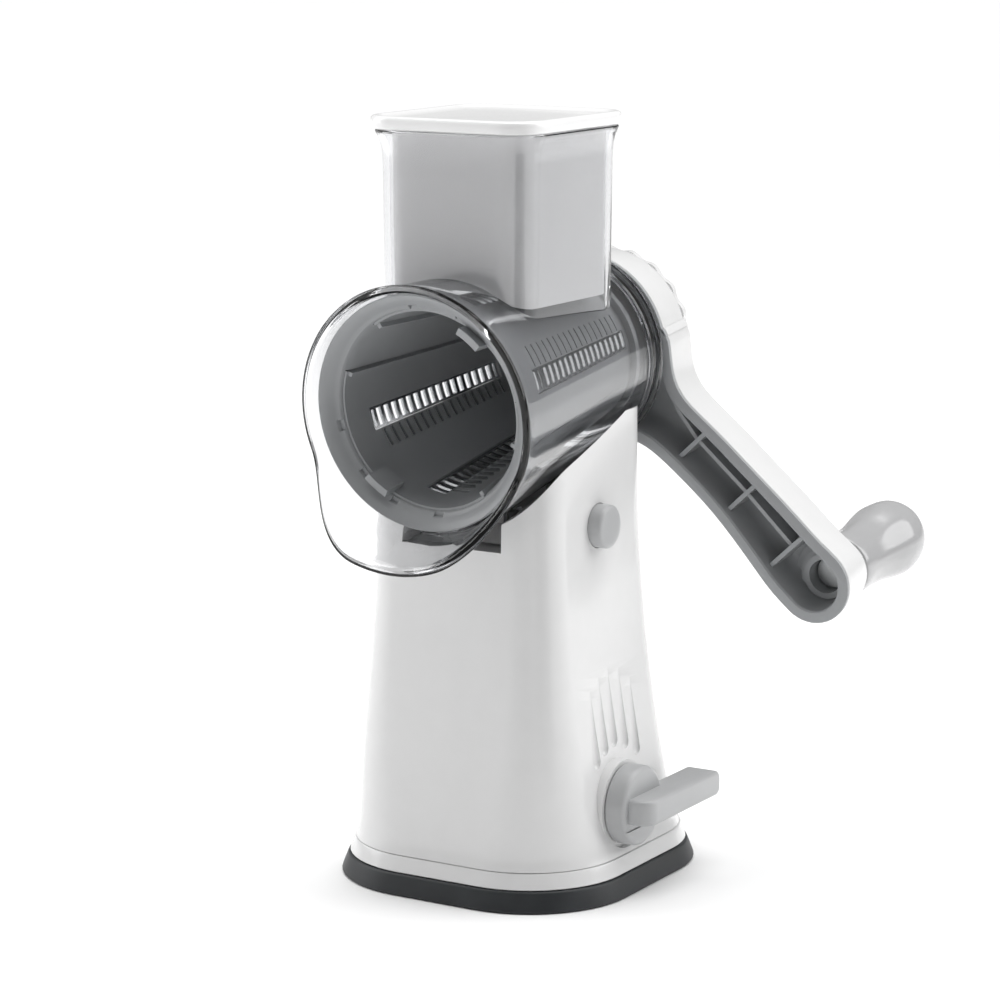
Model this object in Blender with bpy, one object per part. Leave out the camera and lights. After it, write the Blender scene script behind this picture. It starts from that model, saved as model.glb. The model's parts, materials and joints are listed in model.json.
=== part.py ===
"""Rotary cheese grater: suction-base tower, clear housing, conical drum, crank, pusher.

Units in this file are millimetres; MM turns them into metres when a mesh is made.
World frame: origin at the centre of the suction pad's underside, +Z up, the outlet towards -Y,
the crank towards +Y, the suction lever and the release button on the +X side.
Drum frame: origin at the drum's front ring, local +Y along the drum's axis towards the crank.
"""
import math

import bmesh
import bpy
from mathutils import Matrix, Vector

MM = 0.001
GAP = 0.3

# base and tower
PAD_X, PAD_Y, PAD_R, PAD_H = 63.65, 68.0, 45.0, 8.2
PAD_FLOOR = 2.6
SKIRT_Z0, SKIRT_Z1 = 8.5, 14.9
TOWER_Z0, TOWER_TOP = 15.2, 190.5
TOWER_WALL = 2.6
# height, half width in X, half depth in Y, corner radius, centre in Y
TOWER_SECTIONS = [
    (15.2, 57.6, 61.9, 38.9, -0.4),
    (19.0, 55.9, 60.3, 36.5, -1.0),
    (26.0, 54.2, 58.4, 33.0, -2.0),
    (35.0, 52.6, 56.2, 29.5, -3.4),
    (50.0, 50.4, 53.0, 25.0, -5.2),
    (84.0, 46.4, 48.2, 20.0, -7.2),
    (115.0, 44.0, 45.2, 18.0, -7.8),
    (150.0, 42.3, 43.6, 17.0, -8.0),
    (215.0, 41.6, 42.6, 16.0, -8.0),
]
CHANNEL_X, CHANNEL_Z, CHANNEL_BACK = 22.5, 141.2, 20.0
POST_X, POST_FRONT, POST_REAR = 36.0, -39.0, 36.0
FLUTES = [(-23.3, 51.0, 85.5), (-16.0, 55.0, 90.0), (-8.2, 57.0, 93.0), (0.4, 54.5, 91.0), (9.0, 50.0, 85.0)]

# drum axis: front ring centre, tilt of the axis, outlet lower than the crank end
DRUM_Y, DRUM_Z, TILT = -74.6, 197.7, 5.5
RING_R, BODY_R0, BODY_TAPER, BODY_WALL = 47.0, 42.2, 0.1, 2.4
DRUM_LENGTH, BOSS_END, BOSS_R = 113.0, 136.0, 14.0
INSERT_CENTRES, INSERT_HALF = (53.5, 233.5), 72.5
INSERT_S0, INSERT_S1 = 6.0, 107.0
ROW_OFFSET, ROW_HALF, ROW_S0, ROW_S1, TEETH = 31.0, 13.0, 22.0, 103.6, 17
STRIP_MARGIN = 1.5

# clear housing
BARREL_R0, BARREL_TAPER, BARREL_WALL, BARREL_END = 50.4, 0.088, 2.5, 119.5
BARREL_BEAD = 0.8
# pouring lip: top rim, reach forward, half angle of its level part, angle of its rise, flare
LIP_TOP, LIP_REACH, LIP_FLAT, LIP_RISE, LIP_FLARE = -5.7, 20.4, 18.9, 52.6, 4.9
# cone cut in the tower's top, in which the barrel lies
SADDLE_R0, SADDLE_TAPER = 54.3, 0.112
HOPPER_X, HOPPER_Y, HOPPER_R, HOPPER_CY = 35.0, 39.6, 13.5, -16.4
HOPPER_WALL, HOPPER_TOP = 2.3, 304.4
FOOT_X, FOOT_Y0, FOOT_Y1, FOOT_Z = 19.0, -44.0, 16.0, 143.0

# pusher
FLANGE_X, FLANGE_Y, FLANGE_R, FLANGE_CY = 38.8, 42.3, 15.0, -17.6
FLANGE_Z0, FLANGE_Z1 = 304.9, 310.0
PUSHER_BOTTOM, PUSHER_ARCH = 242.3, 94.0

# crank
HUB_R, ARM_LENGTH, ARM_ANGLE, ARM_END_R, ARM_BOW = 39.3, 139.0, -41.9, 16.4, 3.6
ARM_HALF, NECK_START, NECK_SHARE, NECK_POWER = 13.6, 0.832, 0.758, 12.5
ARM_DRAFT = 0.1
CAP_R = 36.0
SHELL_S0, SHELL_S1, SHELL_WALL = 127.0, 150.0, 2.0
LINER_S0, LINER_FLOOR, LINER_RIM = 125.0, 143.0, 1.7
GRIP_S0, GRIP_S1 = 150.8, 211.0
GRIP_PROFILE = [(11.8, 0.0), (13.2, 1.2), (13.4, 6.0), (13.3, 14.0), (13.9, 24.0), (15.4, 34.0),
                (16.4, 43.0), (15.9, 50.0), (13.2, 56.0), (8.0, 59.4), (0.0, 60.2)]

# suction lever, cam and lift
SIDE_Y = -9.5
LEVER_Z, LEVER_R, LEVER_BACK, LEVER_FACE, LEVER_BAR_FACE, LEVER_REACH = 35.0, 16.2, 54.8, 63.6, 73.6, 48.0
CAM_R, CAM_THROW, YOKE_CLEAR = 8.0, 3.2, 0.9

# release button and latch
BUTTON_Z, BUTTON_R, BUTTON_FACE = 147.3, 8.8, 48.3
LATCH_SIDE = (SIDE_Y - 4.7, SIDE_Y + 4.7)


def clear_scene():
    for item in list(bpy.data.objects):
        bpy.data.objects.remove(item)


def material(name, rgb, roughness, metallic=0.0, alpha=1.0):
    made = bpy.data.materials.new(name)
    made.use_nodes = True
    shader = made.node_tree.nodes["Principled BSDF"]
    shader.inputs["Base Color"].default_value = (*rgb, 1.0)
    shader.inputs["Roughness"].default_value = roughness
    shader.inputs["Metallic"].default_value = metallic
    shader.inputs["Alpha"].default_value = alpha
    return made


def radius_point(angle, radius, along):
    """Point of the drum frame at an angle about the axis, from +X towards up."""
    turn = math.radians(angle)
    return (radius * math.cos(turn), along, radius * math.sin(turn))


def rounded_rect(half_x, half_y, radius, centre_y=0.0, steps=8):
    points = []
    corners = ((1, 1, 0), (-1, 1, 90), (-1, -1, 180), (1, -1, 270))
    for sign_x, sign_y, start in corners:
        for step in range(steps + 1):
            turn = math.radians(start + 90 * step / steps)
            points.append((sign_x * (half_x - radius) + radius * math.cos(turn),
                           centre_y + sign_y * (half_y - radius) + radius * math.sin(turn)))
    return points


def finish_mesh(name, mesh_data, surface=None, parent=None, location=(0, 0, 0), smooth=True):
    bmesh.ops.recalc_face_normals(mesh_data, faces=mesh_data.faces)
    bmesh.ops.scale(mesh_data, vec=(MM, MM, MM), verts=mesh_data.verts)
    mesh = bpy.data.meshes.new(name)
    mesh_data.to_mesh(mesh)
    mesh_data.free()
    if smooth:
        mesh.shade_smooth()
        mesh.set_sharp_from_angle(angle=math.radians(35))
    made = bpy.data.objects.new(name, mesh)
    bpy.context.collection.objects.link(made)
    made.location = Vector(location) * MM
    if parent is not None:
        made.parent = parent
    if surface is not None:
        mesh.materials.append(surface)
    else:
        made.hide_render = True
        made.display_type = "WIRE"
    return made


def skin_loops(mesh_data, loops, close_ends=True, ring=False):
    """Bridges closed loops of equal length, with n-gon ends or joined back to the first."""
    rows = [[mesh_data.verts.new(point) for point in loop] for loop in loops]
    pairs = list(zip(rows, rows[1:]))
    if ring:
        pairs.append((rows[-1], rows[0]))
    for lower, upper in pairs:
        count = len(lower)
        for index in range(count):
            after = (index + 1) % count
            mesh_data.faces.new((lower[index], lower[after], upper[after], upper[index]))
    if close_ends and not ring:
        mesh_data.faces.new(rows[0])
        mesh_data.faces.new(rows[-1])
    return rows


def loft(name, loops, surface=None, parent=None, ring=False, smooth=True):
    mesh_data = bmesh.new()
    skin_loops(mesh_data, loops, ring=ring)
    return finish_mesh(name, mesh_data, surface, parent, smooth=smooth)


def rim_sweep(name, profile, half_x, half_y, radius, surface, closed, centre_y=0.0):
    """Sweeps a profile of (inset, height) around a rounded rectangle."""
    loops = []
    for inset, height in profile:
        outline = rounded_rect(half_x - inset, half_y - inset, radius - inset, centre_y)
        loops.append([(x, y, height) for x, y in outline])
    return loft(name, loops, surface, ring=closed)


def turned(name, profile, surface=None, parent=None, centre=(0, 0, 0), axis="Y", segments=48):
    """Turns a closed profile of (radius, distance along the axis) into a solid."""
    mesh_data = bmesh.new()
    swing = {"Y": Matrix.Identity(3),
             "X": Matrix.Rotation(math.radians(-90), 3, "Z"),
             "Z": Matrix.Rotation(math.radians(90), 3, "X")}[axis]
    rings = []
    for radius, along in profile:
        if radius < 1e-6:
            rings.append([mesh_data.verts.new((0, along, 0))])
            continue
        rings.append([mesh_data.verts.new(radius_point(360 * step / segments, radius, along))
                      for step in range(segments)])
    for lower, upper in zip(rings, rings[1:] + rings[:1]):
        if len(lower) == 1 and len(upper) == 1:
            continue
        for step in range(segments):
            after = (step + 1) % segments
            corners = [lower[step % len(lower)], lower[after % len(lower)],
                       upper[after % len(upper)], upper[step % len(upper)]]
            mesh_data.faces.new(list(dict.fromkeys(corners)))
    bmesh.ops.rotate(mesh_data, verts=mesh_data.verts, matrix=swing)
    bmesh.ops.translate(mesh_data, verts=mesh_data.verts, vec=centre)
    return finish_mesh(name, mesh_data, surface, parent)


def rod(name, radius, start, end, axis, centre, surface=None, parent=None, segments=32):
    profile = [(0, start), (radius, start), (radius, end), (0, end)]
    return turned(name, profile, surface, parent, centre, axis, segments)


def box(name, low, high, surface=None, parent=None):
    loops = []
    for height in (low[2], high[2]):
        loops.append([(low[0], low[1], height), (high[0], low[1], height),
                      (high[0], high[1], height), (low[0], high[1], height)])
    return loft(name, loops, surface, parent, smooth=False)


def combine(target, tool, operation):
    change = target.modifiers.new(operation.title(), "BOOLEAN")
    change.operation = operation
    change.object = tool
    change.solver = "EXACT"


def weld(target):
    clean = target.modifiers.new("Weld", "WELD")
    clean.merge_threshold = 0.00001


def cut(target, *tools):
    for tool in tools:
        combine(target, tool, "DIFFERENCE")


def join(target, *tools):
    for tool in tools:
        combine(target, tool, "UNION")


def blend_sections(height):
    """Tower section at a height, by a Catmull-Rom curve through the named sections."""
    rows = TOWER_SECTIONS
    spot = max(i for i in range(len(rows) - 1) if rows[i][0] <= height or i == 0)
    low, high = rows[spot], rows[spot + 1]
    before, after = rows[max(spot - 1, 0)], rows[min(spot + 2, len(rows) - 1)]
    share = (height - low[0]) / (high[0] - low[0])
    result = []
    for k in range(1, 5):
        slope_low = (high[k] - before[k]) / (high[0] - before[0])
        slope_high = (after[k] - low[k]) / (after[0] - low[0])
        span = high[0] - low[0]
        s2, s3 = share ** 2, share ** 3
        result.append((2 * s3 - 3 * s2 + 1) * low[k] + (s3 - 2 * s2 + share) * span * slope_low
                      + (3 * s2 - 2 * s3) * high[k] + (s3 - s2) * span * slope_high)
    return result


def tower_loops(inset, heights):
    loops = []
    for height in heights:
        half_x, half_y, radius, centre_y = blend_sections(max(height, TOWER_Z0))
        outline = rounded_rect(half_x - inset, half_y - inset, radius - inset * 0.7, centre_y, 5)
        loops.append([(x, y, height) for x, y in outline])
    return loops


def barrel_radius(along):
    return BARREL_R0 - BARREL_TAPER * along


def body_radius(along):
    return BODY_R0 - BODY_TAPER * along


def smooth_step(value):
    value = min(max(value, 0.0), 1.0)
    return value * value * (3 - 2 * value)


def lip_front(angle):
    """Where the barrel's front rim lies along the axis; the pouring lip reaches forward."""
    away = abs((angle + 90 + 180) % 360 - 180)
    return LIP_TOP - LIP_REACH * (1 - smooth_step((away - LIP_FLAT) / LIP_RISE))


def lip_flare(along):
    """Extra radius of the pouring lip, growing from the level rim to the lip's front."""
    return LIP_FLARE * max(LIP_TOP - along, 0.0) / LIP_REACH


def saddle_cone(name, extra, axis, start=-20, end=135, segments=56):
    profile = [(0, start), (SADDLE_R0 - SADDLE_TAPER * start + extra, start),
               (SADDLE_R0 - SADDLE_TAPER * end + extra, end), (0, end)]
    return turned(name, profile, None, axis, segments=segments)


def barrel_grid(name, rows, centre_front, end, parent, surface=None, segments=52):
    """Closed barrel whose front rim follows the lip; rows are (distance behind the rim, extra radius)."""
    mesh_data = bmesh.new()
    angles = [360 * step / segments for step in range(segments)]
    rings = []
    for behind, extra in rows:
        ring = []
        for angle in angles:
            along = lip_front(angle) + behind
            radius = barrel_radius(along) + extra + lip_flare(along)
            ring.append(mesh_data.verts.new(radius_point(angle, radius, along)))
        rings.append(ring)
    last = rows[-1][1]
    rings.append([mesh_data.verts.new(radius_point(a, barrel_radius(end) + last, end)) for a in angles])
    for lower, upper in zip(rings, rings[1:]):
        for step in range(segments):
            after = (step + 1) % segments
            mesh_data.faces.new((lower[step], lower[after], upper[after], upper[step]))
    front = mesh_data.verts.new((0, centre_front, 0))
    back = mesh_data.verts.new((0, end, 0))
    for step in range(segments):
        after = (step + 1) % segments
        mesh_data.faces.new((rings[0][after], rings[0][step], front))
        mesh_data.faces.new((rings[-1][step], rings[-1][after], back))
    return finish_mesh(name, mesh_data, surface, parent)


def cone_sector(name, centre, half, start, end, inner, outer, parent, surface=None, steps=18):
    """Piece of the drum's wall: inner and outer are added to the body's outer radius."""
    mesh_data = bmesh.new()
    loops = []
    for along in (start, end):
        angles = [centre - half + 2 * half * step / steps for step in range(steps + 1)]
        loop = [radius_point(a, body_radius(along) + outer, along) for a in angles]
        loop += [radius_point(a, body_radius(along) + inner, along) for a in reversed(angles)]
        loops.append(loop)
    rows = [[mesh_data.verts.new(point) for point in loop] for loop in loops]
    count = len(rows[0])
    for index in range(count):
        after = (index + 1) % count
        mesh_data.faces.new((rows[0][index], rows[0][after], rows[1][after], rows[1][index]))
    for row in rows:
        for step in range(steps):
            mesh_data.faces.new((row[step], row[step + 1], row[count - 2 - step], row[count - 1 - step]))
    return finish_mesh(name, mesh_data, surface, parent)


def tooth_strip(name, centre, parent, surface):
    """Steel strip with a row of slots; the front edge of each slot is lifted as a cutting tooth."""
    mesh_data = bmesh.new()
    half = ROW_HALF
    edge = half + STRIP_MARGIN - 0.5
    angles = [-edge, -half + 1.0, 0, half - 1.0, edge]
    pitch = (ROW_S1 - ROW_S0) / TEETH
    stations = [ROW_S0 - 2.2]
    for tooth in range(TEETH):
        start = ROW_S0 + pitch * tooth
        stations += [start + pitch * 0.25, start + pitch * 0.75]
    stations.append(ROW_S1 + 2.2)
    top = []
    for along in stations:
        top.append([mesh_data.verts.new(radius_point(centre + a, body_radius(along) - 0.5, along))
                    for a in angles])
    faces = []
    for row in range(len(stations) - 1):
        is_slot = row % 2 == 1
        for column in range(len(angles) - 1):
            if is_slot and 0 < column < len(angles) - 2:
                continue
            faces.append(mesh_data.faces.new((top[row][column], top[row][column + 1],
                                              top[row + 1][column + 1], top[row + 1][column])))
    bmesh.ops.recalc_face_normals(mesh_data, faces=mesh_data.faces)
    bmesh.ops.solidify(mesh_data, geom=mesh_data.faces, thickness=-0.9)
    return finish_mesh(name, mesh_data, surface, parent)


def arm_outline(offset, steps=14):
    """Crank outline in the plane across the axis, grown or shrunk by an offset."""
    hub = HUB_R + offset
    end = ARM_END_R + offset
    upper, lower = [], []
    neck, start = 28, hub * math.sqrt(1 - NECK_START ** 2)
    for step in range(neck + 1):
        share = (step / neck) ** 1.4
        along = start + (ARM_LENGTH - start) * share
        flare = hub * NECK_START - ARM_HALF - offset
        flare *= (1 - smooth_step(share / NECK_SHARE)) ** NECK_POWER
        widen = (ARM_END_R - ARM_HALF) * smooth_step((share - 0.5) / 0.5)
        half = ARM_HALF + offset + flare + widen
        bow = ARM_BOW * math.sin(math.pi * min(share / 0.9, 1.0))
        upper.append((along, bow + half))
        lower.append((along, bow - half))
    tip = [(ARM_LENGTH + end * math.cos(math.radians(a)), end * math.sin(math.radians(a)))
           for a in [90 - 180 * s / steps for s in range(1, steps)]]
    open_angle = math.degrees(math.atan2(upper[0][1], upper[0][0]))
    sweep = 360 - 2 * open_angle
    back = [(hub * math.cos(math.radians(-open_angle - sweep * s / 30)),
             hub * math.sin(math.radians(-open_angle - sweep * s / 30))) for s in range(1, 30)]
    turn = math.radians(ARM_ANGLE)
    outline = upper + tip + lower[::-1] + back
    return [(x * math.cos(turn) - z * math.sin(turn), x * math.sin(turn) + z * math.cos(turn))
            for x, z in outline]


def arm_place(along, across=0.0):
    """Point of the crank plane from distance along the arm and across it."""
    turn = math.radians(ARM_ANGLE)
    return (along * math.cos(turn) - across * math.sin(turn),
            along * math.sin(turn) + across * math.cos(turn))


def arm_solid(name, offset, start, end, parent, surface=None):
    """Crank-shaped block whose sides narrow with distance from the crank's front rim."""
    loops = []
    for along in (start, end):
        outline = arm_outline(offset - ARM_DRAFT * (along - LINER_S0))
        loops.append([(x, along, z) for x, z in outline])
    return loft(name, loops, surface, parent)


def make_materials():
    return {
        "white": material("abs_white", (0.86, 0.86, 0.86), 0.32),
        "clear": material("clear_plastic", (0.80, 0.82, 0.83), 0.06, 0.0, 0.3),
        "grey": material("abs_grey", (0.40, 0.41, 0.43), 0.4),
        "light_grey": material("abs_light_grey", (0.52, 0.53, 0.55), 0.35),
        "black": material("black_rubber", (0.022, 0.024, 0.027), 0.7),
        "steel": material("steel", (0.62, 0.63, 0.64), 0.25, 1.0),
    }


def make_base(looks):
    pad = [(0.8, 0.0), (0.0, 0.8), (0.6, 2.5), (2.6, 7.4), (3.3, PAD_H), (9.0, PAD_H),
           (9.0, PAD_FLOOR)]
    rim_sweep("suction_pad", pad, PAD_X, PAD_Y, PAD_R, looks["black"], False)
    skirt = [(3.5, SKIRT_Z0), (4.6, SKIRT_Z0 + 3.4), (5.4, SKIRT_Z1 - 0.5), (6.0, SKIRT_Z1),
             (13.0, SKIRT_Z1), (13.0, 12.1), (10.2, 12.1), (10.2, SKIRT_Z0)]
    rim_sweep("base_skirt", skirt, PAD_X, PAD_Y, PAD_R, looks["white"], True)
    plate = [(10.7, SKIRT_Z0 + 0.3), (10.7, 11.8)]
    base = rim_sweep("base_plate", plate, PAD_X, PAD_Y, PAD_R, looks["grey"], False)
    for index, (x0, x1) in enumerate(((-24.0, -20.0), (28.0, 32.0))):
        ear = box(f"cutter_ear_{index}", (x0, SIDE_Y - 11, 10.0), (x1, SIDE_Y + 11, LEVER_Z + 11))
        join(base, ear)
    cut(base, rod("cutter_shaft_bore", 5.8, -40, 45, "X", (0, SIDE_Y, LEVER_Z)))
    cut(base, rod("cutter_stud_bore", 5.0, 0, 20, "Z", (0, SIDE_Y, 0), segments=24))
    for x in (-POST_X, POST_X):
        for y in (POST_FRONT, POST_REAR):
            cut(base, rod(f"cutter_plate_hole_{x:.0f}_{y:.0f}", 2.1, 0, 20, "Z", (x, y, 0), segments=16))


def make_base_screws(looks):
    number = 0
    for x in (-POST_X, POST_X):
        for y in (POST_FRONT, POST_REAR):
            number += 1
            profile = [(0, 5.9), (2.6, 5.9), (3.6, 6.5), (3.6, 8.5), (1.7, 8.5), (1.7, 24.0),
                       (0.6, 25.5), (0, 25.5)]
            turned(f"base_screw_{number}", profile, looks["steel"], None, (x, y, 0), "Z", 16)


def make_tower(looks, axis):
    heights = [15.2, 17, 19.5, 23, 28, 35, 43, 54, 68, 84, 102, 124, 150, TOWER_TOP]
    tower = loft("tower_shell", tower_loops(0, heights), looks["white"])
    cavity = loft("cutter_tower_cavity", tower_loops(TOWER_WALL, [14.0] + heights[1:-1]
                                                     + [TOWER_TOP - TOWER_WALL]))
    cut(cavity, saddle_cone("cutter_saddle_inner", TOWER_WALL, axis))
    cut(cavity, box("cutter_channel_wall", (-CHANNEL_X - TOWER_WALL, -70, CHANNEL_Z - TOWER_WALL),
                    (CHANNEL_X + TOWER_WALL, CHANNEL_BACK + TOWER_WALL, 230)))
    for x in (-POST_X, POST_X):
        for y in (POST_FRONT, POST_REAR):
            tag = f"{x:.0f}_{y:.0f}"
            post = rod(f"cutter_post_{tag}", 5.2, 10, 30, "Z", (x, y, 0), segments=20)
            turn = math.atan2(y + 2, x)
            web = loft(f"cutter_web_{tag}", web_loops(x, y, turn))
            join(post, web)
            cut(cavity, post)
    boss = rod("cutter_lever_boss", 17.6, 40, LEVER_BACK + 1, "X", (0, SIDE_Y, LEVER_Z))
    join(tower, boss)
    cut(tower, cavity)
    cut(tower, rod("cutter_lever_seat", 18.1, LEVER_BACK - GAP, 70, "X", (0, SIDE_Y, LEVER_Z), segments=44))
    cut(tower, saddle_cone("cutter_saddle", 0, axis))
    cut(tower, box("cutter_channel", (-CHANNEL_X, -70, CHANNEL_Z), (CHANNEL_X, CHANNEL_BACK, 230)))
    cut(tower, box("cutter_latch_window", (-32, LATCH_SIDE[0], 137), (-16, LATCH_SIDE[1], 151)))
    cut(tower, rod("cutter_button_hole", BUTTON_R + GAP, 38, 55, "X", (0, SIDE_Y, BUTTON_Z)))
    cut(tower, rod("cutter_lever_hole", 5.9, 38, 60, "X", (0, SIDE_Y, LEVER_Z)))
    for x in (-POST_X, POST_X):
        for y in (POST_FRONT, POST_REAR):
            cut(tower, rod(f"cutter_screw_hole_{x:.0f}_{y:.0f}", 2.1, 10, 27, "Z", (x, y, 0), segments=16))
    for index, (y, low, high) in enumerate(FLUTES):
        cut(tower, loft(f"cutter_flute_{index}", flute_loops(y, low, high)))


def web_loops(x, y, turn):
    """Thin radial web from a screw post out through the tower's wall."""
    along, across = Vector((math.cos(turn), math.sin(turn))), Vector((-math.sin(turn), math.cos(turn)))
    start = Vector((x, y))
    corners = [start - across * 1.5, start + along * 26 - across * 1.5,
               start + along * 26 + across * 1.5, start + across * 1.5]
    return [[(c.x, c.y, height) for c in corners] for height in (10, 28)]


def flute_loops(y, low, high, steps=5, sides=8):
    """Tapered recess in the side wall: round at the bottom, running out to a point at the top."""
    loops = []
    for step in range(steps + 1):
        share = step / steps
        height = low + (high - low) * share
        wall = blend_sections(height)[0]
        width = 3.2 * (1 - share) ** 0.8 * min(1.0, math.sqrt(share * 6 + 0.15)) + 0.25
        depth = 1.5 * (1 - share) ** 0.7 * min(1.0, math.sqrt(share * 5 + 0.05)) + 0.15
        loop = []
        for side in range(sides):
            turn = 2 * math.pi * side / sides
            reach = math.cos(turn)
            loop.append((wall - depth * max(reach, 0) + 3.0 * max(-reach, 0),
                         y + width * math.sin(turn), height))
        loops.append(loop)
    return loops


def make_housing(looks, axis):
    rows = [(0.0, 0.0), (0.5, BARREL_BEAD), (2.6, BARREL_BEAD), (3.4, 0.0), (12.0, 0.0), (30.0, 0.0)]
    housing = barrel_grid("feed_housing", rows, -14, BARREL_END, axis, looks["clear"])
    wall = -BARREL_WALL
    inner = barrel_grid("cutter_barrel_inside", [(-6.0, wall), (3.0, wall), (12.0, wall), (30.0, wall)],
                        -42, BARREL_END - BARREL_WALL, axis)
    flange = turned("cutter_rear_flange", [(32, 116.2), (42.0, 116.2), (42.0, 119.1), (32, 119.1)],
                    None, axis, segments=50)
    hopper = [(HOPPER_X - 0.7, HOPPER_Y - 0.6, 225), (HOPPER_X, HOPPER_Y, 290),
              (HOPPER_X + 0.3, HOPPER_Y + 0.3, 296), (HOPPER_X + 1.2, HOPPER_Y + 1.0, 300),
              (HOPPER_X + 2.8, HOPPER_Y + 2.2, 303.2), (HOPPER_X + 3.0, HOPPER_Y + 2.4, HOPPER_TOP)]
    outer_loops, inner_loops = [], []
    for half_x, half_y, height in hopper:
        grow = half_x - HOPPER_X
        outer_loops.append([(x, y, height) for x, y in
                            rounded_rect(half_x, half_y, HOPPER_R + grow, HOPPER_CY - max(grow, 0) * 0.2)])
        low = height + (2 if height == HOPPER_TOP else 0)
        inner_loops.append([(x, y, low) for x, y in
                            rounded_rect(half_x - HOPPER_WALL, half_y - HOPPER_WALL,
                                         HOPPER_R + grow - 1.8, HOPPER_CY - max(grow, 0) * 0.2)])
    inner_loops[0] = [(x, y, 205) for x, y, _ in inner_loops[0]]
    outer = loft("cutter_hopper_outside", outer_loops)
    inside = loft("cutter_hopper_inside", inner_loops)
    foot = box("cutter_foot", (-FOOT_X, FOOT_Y0, FOOT_Z), (FOOT_X, FOOT_Y1, 172))
    join(housing, flange, outer, foot)
    cut(housing, inner, inside)
    cut(housing, rod("cutter_boss_hole", BOSS_R + 1.6, 100, 130, "Y", (0, 0, 0), None, axis, 40))
    cut(housing, box("cutter_latch_notch", (-FOOT_X - 1, LATCH_SIDE[0], 140), (-16.2, LATCH_SIDE[1], 150.5)))


def make_drum(looks, axis):
    end = DRUM_LENGTH
    inner = BODY_WALL
    profile = [(40.5, 4.9), (42.5, 2.9), (44.8, 0.3), (46.2, -1.0), (RING_R, -0.3), (RING_R, 2.8),
               (46.2, 3.4), (42.9, 5.0), (body_radius(6.2), 6.2), (body_radius(108), 108), (33.2, 109), (33.2, end), (BOSS_R, end),
               (BOSS_R, BOSS_END - 1), (BOSS_R - 1, BOSS_END), (0, BOSS_END), (0, BOSS_END - 3),
               (8.5, BOSS_END - 3), (8.5, 109.5), (body_radius(109.5) - inner, 109.5),
               (body_radius(9) - inner, 9), (39.9, 6.4)]
    drum = turned("drum_frame", profile, looks["light_grey"], axis, segments=48)
    for number in range(6):
        x, _, z = radius_point(60 * number, BOSS_R + 0.9, 0)
        cut(drum, rod(f"cutter_spline_{number}", 2.4, end + 1.5, BOSS_END + 2, "Y", (x, 0, z), None, axis, 10))
    for tag, centre in zip("ab", INSERT_CENTRES):
        cut(drum, cone_sector(f"cutter_insert_{tag}", centre, INSERT_HALF, INSERT_S0, INSERT_S1,
                              -8, 8, axis))
    for tag, centre in zip("ab", INSERT_CENTRES):
        carrier = cone_sector(f"blade_carrier_{tag}", centre, INSERT_HALF - 0.6, INSERT_S0 + GAP,
                              INSERT_S1 - GAP, -2.4, 0, axis, looks["light_grey"], 24)
        tab = cone_sector(f"cutter_tab_{tag}", centre, 8, 0.5, 12, -5.0, -2.1, axis, None, 5)
        join(carrier, tab)
        for number, side in enumerate((-1, 1), 1):
            row = centre + side * ROW_OFFSET
            cut(carrier, cone_sector(f"cutter_window_{tag}{number}", row, ROW_HALF + STRIP_MARGIN,
                                     ROW_S0 - 2.6, ROW_S1 + 2.6, -6, 6, axis, None, 8))
            tooth_strip(f"blade_strip_{tag}{number}", row, axis, looks["steel"])


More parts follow.
